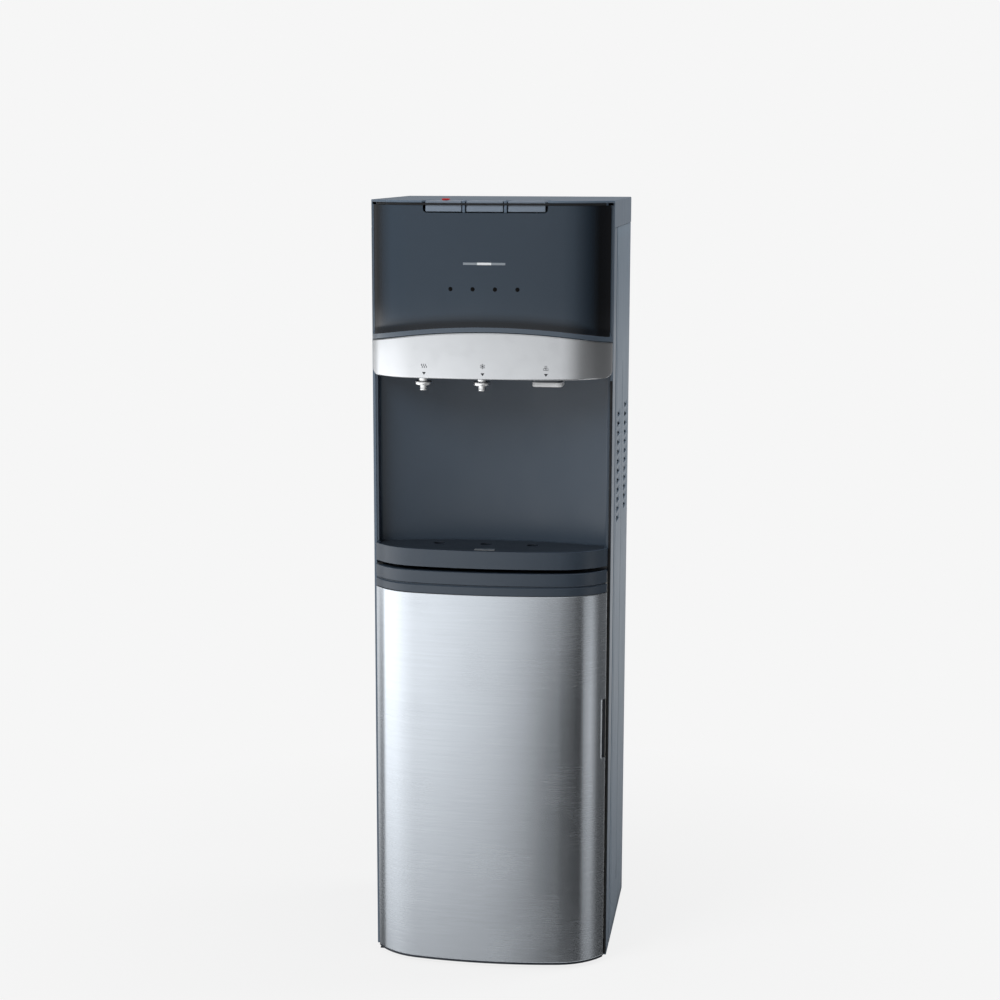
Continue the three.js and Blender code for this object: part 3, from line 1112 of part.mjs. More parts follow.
// Screw: a helical strip of even thickness wound on a round shaft.
function buildAuger(parent) {
  const length = BIN_LENGTH - 2 * BIN_WALL - 6;
  const start = -length / 2;
  const steps = AUGER_TURNS * 10;
  const strip = new THREE.BufferGeometry();
  const points = [];
  const faces = [];
  const thickness = 2.4;
  for (let k = 0; k <= steps; k += 1) {
    const turn = (2 * Math.PI * AUGER_TURNS * k) / steps;
    const y = start + ((length - thickness) * k) / steps;
    for (const [radius, shift] of [[AUGER_SHAFT - 1, 0], [AUGER_RADIUS, 0], [AUGER_RADIUS, thickness],
      [AUGER_SHAFT - 1, thickness]]) {
      points.push(radius * Math.cos(turn), y + shift, radius * Math.sin(turn));
    }
  }
  for (let k = 0; k < steps; k += 1) {
    for (let side = 0; side < 4; side += 1) {
      const [a, b] = [4 * k + side, 4 * k + ((side + 1) % 4)];
      faces.push(a, b, b + 4, a, b + 4, a + 4);
    }
  }
  faces.push(0, 2, 1, 0, 3, 2);
  const last = 4 * steps;
  faces.push(last, last + 1, last + 2, last, last + 2, last + 3);
  strip.setAttribute('position', new THREE.BufferAttribute(new Float32Array(points), 3));
  strip.setIndex(faces);
  const shaft = rodAlongY(AUGER_SHAFT, -BIN_LENGTH / 2 - 1, BIN_LENGTH / 2 + 8, 0, 0, 12);
  const auger = made('ice_auger', join(solid(strip), shaft), zinc(), parent);
  auger.position.set(ICE_X, binFront + BIN_LENGTH / 2, binLow + augerLevel);
}

function buildAugerMotor(parent) {
  const w = MOTOR_WIDTH / 2;
  const body = block(-w, w, GAP, GAP + 14, -w, w);
  const can = rodAlongY(18, 13, 13 + MOTOR_LENGTH - 14, 0, 0, 20);
  const socket = rodAlongY(AUGER_SHAFT + GAP, -1, 10, 0, 0, 12);
  const motor = made('auger_motor', cut(join(body, can), socket), zinc(), parent);
  motor.position.set(ICE_X, binBack, binLow + augerLevel + 6);
  motor.geometry.translate(0, 0, -6);
}

// Cold block with fingers that stand in a water trough, carried by the back panel.
function buildIceMaker(parent) {
  const w = BIN_WIDTH / 2 - 6;
  const rear = backPlane - COVER_WALL - GAP;
  const front = binBack - 42;
  const low = binLow + BIN_HEIGHT + 6;
  const high = coverLow - 8;
  const head = block(-w, w, front, rear, high - 14, high);
  const spacing = (2 * w - 20) / (ICE_FINGERS - 1);
  const fingers = Array.from({ length: ICE_FINGERS }, (_, k) =>
    post(6, low + 6, high - 13, -w + 10 + k * spacing, front + 14, 12));
  const bracket = block(-w, w, rear - 3, rear, low, high - 10);
  made('ice_maker', join(head, ...fingers, bracket), silver(), parent).position.set(ICE_X, 0, 0);
}

function buildPump(parent) {
  const low = GAP;
  const bodyShell = turned([[0, low], [PUMP_RADIUS, low], [PUMP_RADIUS, 22], [PUMP_RADIUS - 3, 24],
    [PUMP_RADIUS - 3, PUMP_HEIGHT - 4], [PUMP_RADIUS - 7, PUMP_HEIGHT], [0, PUMP_HEIGHT]], 20, 0, 0);
  const outlet = rodAlongY(4, PUMP_RADIUS - 6, PUMP_RADIUS + 12, 0, 12, 10);
  const port = post(HOSE_RADIUS - 1.4, -PUMP_PORT, 2, 0, 0, 10);
  const pump = made('water_pump', join(bodyShell, outlet, port), darkPlastic(), parent);
  pump.position.set(pumpX, frontPlane + PUMP_BACK, shelfTop);
}

// Suction hose: from the pump's port through the shelf, down in a loop and up to the probe.
function buildHose(parent) {
  const pumpY = frontPlane + PUMP_BACK;
  const wallX = -nicheHalf + HOSE_RADIUS + HOSE_LANE;
  const portY = probeY - PROBE_CAP_RADIUS - PORT_LENGTH - GAP;
  const portZ = probeCapLow + PROBE_CAP_HEIGHT - PORT_BELOW_CAP;
  const start = shelfTop - PUMP_PORT - GAP;
  const middle = (pumpY + portY) / 2;
  const low = portZ - HOSE_SAG;
  const turn = (portY - pumpY) / 4;
  const route = [
    [pumpX, pumpY, start], [pumpX, pumpY, start - 2 * HOSE_RADIUS], [pumpX, pumpY, start - 5 * HOSE_RADIUS],
    [(pumpX + wallX) / 2, pumpY + HOSE_RADIUS, (start + portZ) / 2],
    [wallX, pumpY + HOSE_RADIUS, portZ - turn],
    [wallX, middle - turn, low + turn * 0.6], [wallX, middle, low], [wallX, middle + turn, low + turn * 0.6],
    [wallX, portY - 6 * HOSE_RADIUS, portZ - turn],
    [(probeX + wallX) / 2, portY - 4 * HOSE_RADIUS, portZ - 3 * HOSE_RADIUS],
    [probeX, portY - 2 * HOSE_RADIUS, portZ], [probeX, portY, portZ],
  ];
  made('probe_hose', bar(route, HOSE_RADIUS, 6, 32), clearPlastic(), parent);
}

function buildProbe(parent) {
  const r = PROBE_CAP_RADIUS;
  const h = PROBE_CAP_HEIGHT;
  const cap = turned([[0, 0], [r - 2, 0], [r, 3], [r, h - 6], [r - 5, h], [0, h]], 20, 0, 0);
  const straw = post(PROBE_STRAW_RADIUS, baseTop + PROBE_STRAW_CLEARANCE - probeCapLow, 1, 0, 0, 12);
  const port = rodAlongY(HOSE_RADIUS - 0.6, -r - PORT_LENGTH, -r + 3, 0, h - PORT_BELOW_CAP, 10);
  const probe = made('bottle_probe', join(cap, straw, port), whitePlastic(), parent);
  probe.position.set(probeX, probeY, probeCapLow);
}

// ---------------------------------------------------------------- rear

// Serpentine tube with upright wires welded across it, one body.
function buildCondenser(parent) {
  const w = CONDENSER_WIDTH / 2;
  const pitch = (condenserHigh - CONDENSER_LOW) / (CONDENSER_RUNS - 1);
  const tubeY = backPlane + CONDENSER_DEPTH - CONDENSER_TUBE - WIRE_SIZE;
  const bend = pitch / 2;
  const straight = w - bend;
  const tubes = [];
  for (let run = 0; run < CONDENSER_RUNS; run += 1) {
    const z = CONDENSER_LOW + run * pitch;
    const side = run % 2 === 0 ? 1 : -1;
    tubes.push(rodAlongX(CONDENSER_TUBE, -straight - 1, straight + 1, tubeY, z, 6));
    if (run < CONDENSER_RUNS - 1) {
      const turn = arc(0, z + bend, bend, -90, 90, 6).map(([x, height]) =>
        [side * (straight + x), tubeY, height]);
      tubes.push(bar(turn, CONDENSER_TUBE, 6, 8));
    }
  }
  const wires = Array.from({ length: CONDENSER_WIRES }, (_, k) => {
    const x = (straight - 6) * ((2 * k) / (CONDENSER_WIRES - 1) - 1);
    return block(x - WIRE_SIZE / 2, x + WIRE_SIZE / 2, tubeY + CONDENSER_TUBE - 0.6,
      backPlane + CONDENSER_DEPTH, CONDENSER_LOW - 14, condenserHigh + 14);
  });
  const legs = [[-1, CONDENSER_LOW - 10], [1, CONDENSER_LOW - 10], [-1, condenserHigh + 10],
    [1, condenserHigh + 10]].map(([i, z]) => {
    const x = i * (straight - 6);
    return block(x - 4, x + 4, backPlane + GAP, backPlane + CONDENSER_DEPTH - 0.2, z - 3, z + 3);
  });
  made('condenser', join(join(...tubes), ...wires, ...legs), blackSteel(), parent);
}

// Moulded panel at the back: two wells for the rockers and the socket for the mains lead.
function buildServicePanel(parent) {
  const face = backPlane - BACK_THICKNESS;
  const w = SWITCH_WIDTH / 2 + 0.8;
  const h = SWITCH_HEIGHT / 2 + 1.2;
  const wall = 1;
  const edge = half - PANEL_RETURN - GAP;
  let panel = block(-edge, edge, face, face + SERVICE_THICKNESS, serviceLow, coverSeam - GAP);
  for (const [, x] of switchPlaces) {
    panel = join(panel, block(x - w - wall, x + w + wall, backPlane - SWITCH_WELL - wall, face + 1,
      switchLevel - h - wall, switchLevel + h + wall));
    panel = cut(panel, block(x - w, x + w, backPlane - SWITCH_WELL, face + 3,
      switchLevel - h, switchLevel + h));
  }
  const [iw, ih] = [INLET_WIDTH / 2, INLET_HEIGHT / 2];
  const front = backPlane - 22;
  panel = join(panel, block(inletX - iw, inletX + iw, front, face + 1, switchLevel - ih, switchLevel + ih));
  panel = cut(panel, block(inletX - iw + 2, inletX + iw - 2, front + 3, face + 3,
    switchLevel - ih + 2, switchLevel + ih - 2));
  const pins = [-7, 0, 7].map((dx) => block(inletX + dx - 1, inletX + dx + 1, front + 2, backPlane - 3,
    switchLevel - 2.5, switchLevel + 2.5));
  made('service_panel', join(panel, ...pins), darkPlastic(), parent);
}

// Rocker seen from behind the cooler: it tips about a level axis through its middle.
function buildSwitches(parent) {
  const w = SWITCH_WIDTH / 2;
  const h = SWITCH_HEIGHT / 2;
  const outline = [[-9, -h + 3], [3, -h], [4.5, -h + 0.5], [2.5, 0], [4.5, h - 0.5], [3, h], [-9, h - 3]];
  for (const [name, x] of switchPlaces) {
    const rocker = made(name, profile(outline, -w, w), redPlastic(), parent);
    rocker.rotation.x = THREE.MathUtils.degToRad(SWITCH_TILT);
    rocker.position.set(x, backPlane - 1.5, switchLevel);
  }
}

// ---------------------------------------------------------------- assembly

function buildCooler() {
  const cooler = new THREE.Group();
  const cabinet = new THREE.Group();
  const front = new THREE.Group();
  const works = new THREE.Group();
  cooler.add(cabinet, front, works);
  buildBase(cabinet);
  buildFeet(cabinet);
  buildColumn('left_column', -1, cabinet);
  buildColumn('right_column', 1, cabinet);
  buildSidePanel('left_side_panel', -1, cabinet);
  buildSidePanel('right_side_panel', 1, cabinet);
  buildBackPanel(cabinet);
  buildDrainPlug(cabinet);
  buildShelf(cabinet);
  buildBayLiner(cabinet);
  buildTopCover(cabinet);
  buildFascia(front);
  buildBand(front);
  buildLightGuide(front);
  buildStatusStrip(front);
  buildControlBoard(front);
  buildNicheLiner(front);
  buildOutletPlate(front);
  buildNozzle('hot_nozzle', HOT_X, front);
  buildNozzle('cold_nozzle', COLD_X, front);
  buildValve('hot_valve', HOT_X, front);
  buildValve('cold_valve', COLD_X, front);
  buildChute(front);
  buildFlap(front);
  buildTray(front);
  buildDoor(cooler);
  buildHinges(cabinet);
  buildMagnet(cabinet);
  buildKeyHousing(front);
  buildKey('hot_key', KEY_ROW_X - KEY_PITCH, front, true);
  buildKey('cold_key', KEY_ROW_X, front, false);
  buildKey('ice_key', KEY_ROW_X + KEY_PITCH, front, false);
  buildChildLock(front);
  buildCompressor(works);
  buildHotTank(works);
  buildColdTank(works);
  buildUpperDeck(works);
  buildBin(works);
  buildAuger(works);
  buildAugerMotor(works);
  buildIceMaker(works);
  buildPump(works);
  buildHose(works);
  buildProbe(works);
  buildCondenser(works);
  buildServicePanel(cabinet);
  buildSwitches(cabinet);
  return cooler;
}

export default buildCooler();
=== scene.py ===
"""Looks of a bottom load water cooler with an ice outlet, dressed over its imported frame.

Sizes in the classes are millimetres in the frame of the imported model: +Z up, the bowed front facing -Y, the
origin on the floor under the middle. Meshes are turned into metres when they are made. The finishes and the
studio are in metres.
"""

import json
import logging
import math
from dataclasses import dataclass, field
from enum import Enum
from typing import Any, Sequence

import bmesh
import bpy
import numpy as np
from mathutils import Matrix, Vector

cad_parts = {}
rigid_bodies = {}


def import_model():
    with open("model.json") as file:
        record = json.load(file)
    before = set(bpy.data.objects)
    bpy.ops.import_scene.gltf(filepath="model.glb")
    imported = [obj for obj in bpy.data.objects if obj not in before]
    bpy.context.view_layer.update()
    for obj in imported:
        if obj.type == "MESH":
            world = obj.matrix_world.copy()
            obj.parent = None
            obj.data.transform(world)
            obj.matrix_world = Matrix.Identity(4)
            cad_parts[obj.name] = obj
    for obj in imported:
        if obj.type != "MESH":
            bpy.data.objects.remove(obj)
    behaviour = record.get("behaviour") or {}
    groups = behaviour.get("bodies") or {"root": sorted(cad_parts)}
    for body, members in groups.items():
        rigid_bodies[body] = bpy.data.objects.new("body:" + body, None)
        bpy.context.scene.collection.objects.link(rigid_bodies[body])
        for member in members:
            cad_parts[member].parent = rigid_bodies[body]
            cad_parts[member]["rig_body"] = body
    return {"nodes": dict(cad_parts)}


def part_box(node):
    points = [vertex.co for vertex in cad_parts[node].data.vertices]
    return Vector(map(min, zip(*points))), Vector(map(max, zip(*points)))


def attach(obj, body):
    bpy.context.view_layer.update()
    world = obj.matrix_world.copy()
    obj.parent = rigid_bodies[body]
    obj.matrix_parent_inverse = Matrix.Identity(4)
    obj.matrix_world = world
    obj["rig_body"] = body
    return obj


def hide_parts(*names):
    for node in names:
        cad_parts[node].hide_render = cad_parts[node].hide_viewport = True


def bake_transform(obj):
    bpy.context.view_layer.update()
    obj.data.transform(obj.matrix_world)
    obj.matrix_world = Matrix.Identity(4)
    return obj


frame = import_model()

LOG = logging.getLogger("cooler")
MM = 0.001
Colour = tuple[float, float, float]
Point = tuple[float, float, float]
Object = bpy.types.Object


def srgb(red: int, green: int, blue: int) -> Colour:
    """Turns a colour written as 0 to 255 screen values into linear light.

    Args:
        red: Screen value of red.
        green: Screen value of green.
        blue: Screen value of blue.

    Returns:
        The three linear values.
    """
    values = np.array([red, green, blue]) / 255
    linear = np.where(values <= 0.04045, values / 12.92, ((values + 0.055) / 1.055) ** 2.4)
    return tuple(linear.tolist())


# ---------------------------------------------------------------- mesh making


@dataclass
class Shape:
    """Corners and faces of a mesh in the making, in millimetres."""

    points: list[np.ndarray] = field(default_factory=list)
    faces: list[tuple[int, ...]] = field(default_factory=list)

    def grid(self, points: np.ndarray, wrap_u: bool = False, wrap_v: bool = False, caps: bool = False,
             keep: np.ndarray | None = None) -> "Shape":
        """Adds a sheet of four-sided faces: face (u, v) joins corners (u, v), (u+1, v), (u+1, v+1), (u, v+1).

        Args:
            points: Corners as an array of u by v by 3.
            wrap_u: The last row of corners joins the first.
            wrap_v: The last column of corners joins the first.
            caps: The first and last row are closed with one flat face each.
            keep: Faces to keep, as an array of booleans of u by v.

        Returns:
            The shape itself.
        """
        rows, columns = points.shape[:2]
        start = sum(len(earlier) for earlier in self.points)
        u = np.arange(rows if wrap_u else rows - 1)[:, None]
        v = np.arange(columns if wrap_v else columns - 1)[None, :]
        across, along = (u + 1) % rows, (v + 1) % columns
        corners = [u * columns + v, across * columns + v, across * columns + along, u * columns + along]
        quads = np.stack(np.broadcast_arrays(*corners), -1)
        chosen = quads.reshape(-1, 4) if keep is None else quads[keep]
        self.faces += [tuple(face) for face in (chosen + start).tolist()]
        if caps:
            self.faces.append(tuple(range(start, start + columns)))
            self.faces.append(tuple(range(start + (rows - 1) * columns, start + rows * columns)))
        self.points.append(points.reshape(-1, 3).astype(float))
        return self

    def make(self, name: str, sharp: float = 30.0) -> Object:
        """Turns the shape into an object in metres, with doubles merged and faces outward.

        Args:
            name: Name of the object.
            sharp: Edges that turn by more than this many degrees stay sharp.

        Returns:
            The new object, linked to the scene.
        """
        mesh = bpy.data.meshes.new(name)
        mesh.from_pydata((np.concatenate(self.points) * MM).tolist(), [], self.faces)
        work = bmesh.new()
        work.from_mesh(mesh)
        bmesh.ops.remove_doubles(work, verts=work.verts, dist=2e-6)
        bmesh.ops.dissolve_degenerate(work, edges=work.edges, dist=1e-7)
        bmesh.ops.recalc_face_normals(work, faces=work.faces)
        work.to_mesh(mesh)
        work.free()
        return finished_object(name, mesh, sharp)


def finished_object(name: str, mesh: bpy.types.Mesh, sharp: float) -> Object:
    """Links a mesh as an object that is shaded smooth up to an angle.

    Args:
        name: Name of the object.
        mesh: Its mesh.
        sharp: Edges that turn by more than this many degrees stay sharp.

    Returns:
        The new object.
    """
    mesh.polygons.foreach_set("use_smooth", np.ones(len(mesh.polygons), bool))
    mesh.set_sharp_from_angle(angle=math.radians(sharp))
    made = bpy.data.objects.new(name, mesh)
    bpy.context.scene.collection.objects.link(made)
    return made


def softened(node: str, width: float, sharp: float, whole: bool) -> Object:
    """Copies a frame node's mesh, merges its triangles into whole faces and breaks its edges.

    Args:
        node: Name of the frame node.
        width: Width of the broken edges in millimetres.
        sharp: Edges that turn by more than this many degrees are broken and stay sharp.
        whole: Whether its triangles are merged.

    Returns:
        The new object.
    """
    mesh = frame["nodes"][node].data.copy()
    mesh.materials.clear()
    work = bmesh.new()
    work.from_mesh(mesh)
    bmesh.ops.remove_doubles(work, verts=work.verts, dist=1e-5)
    if whole:
        bmesh.ops.dissolve_limit(work, angle_limit=math.radians(0.4), verts=work.verts, edges=work.edges)
    work.to_mesh(mesh)
    work.free()
    made = finished_object(f"{node}_dressed", mesh, sharp)
    bevel = made.modifiers.new("edges", "BEVEL")
    bevel.width = width * MM
    bevel.segments = 2
    bevel.limit_method = "ANGLE"
    bevel.angle_limit = math.radians(sharp)
    bevel.use_clamp_overlap = True
    return made


def walled(piece: Object, thickness: float, towards: Point) -> Object:
    """Turns the faces of an open sheet to its outer side and gives it a wall behind them.

    Args:
        piece: The sheet.
        thickness: Wall in millimetres.
        towards: Direction that most of its area faces.

    Returns:
        The same object.
    """
    faces = piece.data.polygons
    normals, areas = np.zeros(len(faces) * 3), np.zeros(len(faces))
    faces.foreach_get("normal", normals)
    faces.foreach_get("area", areas)
    if areas @ normals.reshape(-1, 3) @ np.array(towards) < 0:
        piece.data.flip_normals()
    wall = piece.modifiers.new("wall", "SOLIDIFY")
    wall.thickness = thickness * MM
    wall.offset = -1
    wall.use_even_offset = True
    return piece


def unit(vectors: np.ndarray) -> np.ndarray:
    """Vectors of length 1 in the same directions."""
    return vectors / np.linalg.norm(vectors, axis=-1, keepdims=True)


def circle(sides: int) -> np.ndarray:
    """Angles at even steps once round."""
    return np.linspace(0, 2 * np.pi, sides, endpoint=False)


def prism(section: Sequence[Sequence[float]] | np.ndarray, axis: int, places: Sequence[float]) -> np.ndarray:
    """Carries a flat section straight along an axis, as one ring of corners at each place.

    Args:
        section: Points of the section in the two other coordinates, in their order.
        axis: Number of the axis.
        places: Coordinates along the axis at which the section stands.

    Returns:
        Corners as an array of places by points by 3.
    """
    return np.stack([np.insert(np.array(section, float), axis, place, axis=1) for place in places])


def turned(profile: Sequence[tuple[float, float]], centre: Point, sides: int, ribs: int = 0,
           rib_depth: float = 0.0) -> np.ndarray:
    """Carries a profile of radius and height round a vertical axis: x = r cos t, y = r sin t, z = h.

    Args:
        profile: Radius and height of each point, from the bottom of the axis to its top.
        centre: Where the axis stands.
        sides: Number of steps round.
        ribs: Number of upright ribs on the outside.
        rib_depth: How much the radius shrinks between the ribs.

    Returns:
        Corners as an array of heights by sides by 3.
    """
    outline = np.array(profile, float)
    angle = circle(sides)
    radius = outline[:, :1] * np.ones(sides)
    if ribs:
        widest = outline[:, :1] >= outline[:, 0].max() - 0.01
        radius = radius - widest * rib_depth * (np.cos(ribs * angle) < 0)
    grid = np.stack([radius * np.cos(angle), radius * np.sin(angle), outline[:, 1:] * np.ones(sides)], -1)
    return grid + np.array(centre)


def tube(path: np.ndarray, radius: float | np.ndarray, sides: int, reference: Point) -> np.ndarray:
    """Carries a circle along a path: p + r (a cos t + b sin t), with a and b square to the path's direction.

    Args:
        path: Points of the path as an array of n by 3.
        radius: Radius of the tube, or one radius for each point.
        sides: Number of steps round.
        reference: Direction that the path never runs along, from which a is worked out.

    Returns:
        Corners as an array of n by sides by 3.
    """
    along = unit(np.gradient(path, axis=0))
    a = unit(np.cross(np.array(reference, float), along))
    b = np.cross(along, a)
    angle = circle(sides)[None, :, None]
    size = np.broadcast_to(np.asarray(radius, float), len(path))[:, None, None]
    return path[:, None] + size * (a[:, None] * np.cos(angle) + b[:, None] * np.sin(angle))


def smooth_route(points: Sequence[Sequence[float]], steps: int) -> np.ndarray:
    """Runs a smooth curve through points, as a centripetal Catmull-Rom curve worked out span by span.

    Args:
        points: Points to run through.
        steps: Steps in each span.

    Returns:
        Points along the curve as an array of n by 3.
    """
    given = np.array(points, float)
    ends = [2 * given[0] - given[1], *given, 2 * given[-1] - given[-2]]
    spans = []
    for near_points in zip(ends, ends[1:], ends[2:], ends[3:]):
        pairs = list(zip(near_points, near_points[1:]))
        knots = np.cumsum([0, *[np.linalg.norm(q - p) ** 0.5 for p, q in pairs]])
        t = np.linspace(knots[1], knots[2], steps, endpoint=False)[:, None]
        near = [((knots[k + 1] - t) * p + (t - knots[k]) * q) / (knots[k + 1] - knots[k])
                for k, (p, q) in enumerate(pairs)]
        wide = [((knots[k + 2] - t) * near[k] + (t - knots[k]) * near[k + 1]) / (knots[k + 2] - knots[k])
                for k in range(2)]
        spans.append(((knots[2] - t) * wide[0] + (t - knots[1]) * wide[1]) / (knots[2] - knots[1]))
    return np.concatenate([*spans, given[-1:]])


# ---------------------------------------------------------------- the bowed front seen from above


@dataclass(frozen=True)
class Stations:
    """Places along the bow: each has the centre and radius of its arc and its angle on that arc."""

    centre_x: np.ndarray
    centre_back: np.ndarray
    radius: np.ndarray
    angle: np.ndarray
    to_end: np.ndarray


@dataclass(frozen=True)
class Bow:
    """The bowed front seen from above: one wide arc, with a tighter arc at each end."""

    half: float = 155.0
    radius: float = 600.0
    corner: float = 80.0
    span: float = 60.0
    foremost: float = -173.05
    front_plane: float = -119.95

    @property
    def bend(self) -> float:
        """Angle at which the wide arc meets the tighter ones."""
        return math.asin((self.half - self.span) / self.radius)

    @property
    def corner_x(self) -> float:
        """Distance of a tighter arc's centre from the middle."""
        return self.half - self.span - self.corner * math.sin(self.bend)

    @property
    def corner_back(self) -> float:
        """Distance of a tighter arc's centre behind the foremost line."""
        return self.radius * (1 - math.cos(self.bend)) + self.corner * math.cos(self.bend)

    def stations(self, reach: float, middle: int, ends: Sequence[float] = (),
                 extra: Sequence[float] = ()) -> Stations:
        """Places from left to right, even in angle, with finer ones near the ends.

        Args:
            reach: Distance from the middle at which the bow is cut off.
            middle: Number of places on the wide arc.
            ends: Distances from either end, along the arc, at which places are added.
            extra: Distances from the middle, signed, at which places are added on the wide arc.

        Returns:
            The places.
        """
        last = math.asin((reach - self.corner_x) / self.corner)
        length = self.corner * (last - self.bend)
        added = np.arcsin(np.array(extra, float) / self.radius)
        wide = np.union1d(np.linspace(-self.bend, self.bend, middle), added)
        close = last - np.array([d for d in ends if d < length], float) / self.corner
        tight = np.union1d(np.linspace(self.bend, last, 22)[1:], close)
        tight = tight[tight > self.bend + 1e-6]
        side = np.concatenate([-np.ones(len(tight)), np.zeros(len(wide)), np.ones(len(tight))])
        angle = np.concatenate([-tight[::-1], wide, tight])
        edge = side != 0
        to_end = np.where(edge, self.corner * (last - np.abs(angle)),
                          length + self.radius * (self.bend - np.abs(angle)))
        return Stations(side * self.corner_x, np.where(edge, self.corner_back, self.radius),
                        np.where(edge, self.corner, self.radius), angle, to_end)

    def at(self, places: Stations, inset: float | np.ndarray) -> tuple[np.ndarray, np.ndarray]:
        """Plan of the places set in by a distance: x = c + (r - inset) sin a, y = b - (r - inset) cos a.

        Args:
            places: The places, n of them.
            inset: One distance, or an array of n by m.

        Returns:
            x and y, as arrays of n by m, or n by 1 for a single distance.
        """
        reach = places.radius[:, None] - np.atleast_2d(np.asarray(inset, float))
        x = places.centre_x[:, None] + reach * np.sin(places.angle)[:, None]
        y = self.foremost + places.centre_back[:, None] - reach * np.cos(places.angle)[:, None]
        return x, y

    def y(self, x: float | np.ndarray, inset: float = 0.0) -> np.ndarray:
        """How far forward the surface lies at x, set in by a distance.

        Args:
            x: Distance from the middle, signed.
            inset: Depth behind the bow.

        Returns:
            The y coordinate.
        """
        across = np.abs(np.asarray(x, float))
        wide, tight = self.radius - inset, self.corner - inset
        reach = np.clip(across - self.corner_x, 0, tight)
        back = np.where(across <= wide * math.sin(self.bend),
                        self.radius - np.sqrt(wide ** 2 - np.minimum(across, wide) ** 2),
                        self.corner_back - np.sqrt(np.maximum(tight ** 2 - reach ** 2, 0)))
        return self.foremost + back


BOW = Bow()


def rounding(distance: np.ndarray, radius: float) -> np.ndarray:
    """Depth of a rounded edge at a distance d from it: r - sqrt(r^2 - (r - d)^2), and nothing beyond r."""
    short = np.clip(radius - distance, 0, radius)
    return radius - np.sqrt(radius ** 2 - short ** 2)


def sloped(distance: np.ndarray, start: float, width: float, depth: float) -> np.ndarray:
    """Depth of a hollow that starts past an edge and falls in a quarter ellipse: D sqrt(1 - (1 - t)^2)."""
    t = np.clip((distance - start) / width, 0, 1)
    return depth * np.sqrt(1 - (1 - t) ** 2)


# ---------------------------------------------------------------- shader maths


class Value:
    """A socket of a node tree that takes part in sums, so that 1 - mask * 0.5 adds its Math nodes."""

    def __init__(self, graph: "Graph", socket: bpy.types.NodeSocket | None) -> None:
        """Wraps a socket of a graph."""
        self.graph = graph
        self.socket = socket

    def math(self, operation: str, *others: "Value | float") -> "Value":
        """Adds a Math node that starts from this value."""
        return self.graph.node("Math", dict(enumerate((self, *others))), operation=operation)

    def __add__(self, other: "Value | float") -> "Value":
        """Sum."""
        return self.math("ADD", other)

    def __sub__(self, other: "Value | float") -> "Value":
        """Difference."""
        return self.math("SUBTRACT", other)

    def __rsub__(self, other: float) -> "Value":
        """Difference from a number."""
        return self.graph.node("Math", {0: other, 1: self}, operation="SUBTRACT")

    def __mul__(self, other: "Value | float") -> "Value":
        """Product."""
        return self.math("MULTIPLY", other)

    __radd__ = __add__
    __rmul__ = __mul__

    def above(self, edge: float, soft: float) -> "Value":
        """Mask that goes from 0 to 1 over a soft step at an edge: (v - edge) / soft + 0.5, held in 0 to 1."""
        step = (self - edge) * (1 / soft) + 0.5
        return step.math("MAXIMUM", 0.0).math("MINIMUM", 1.0)


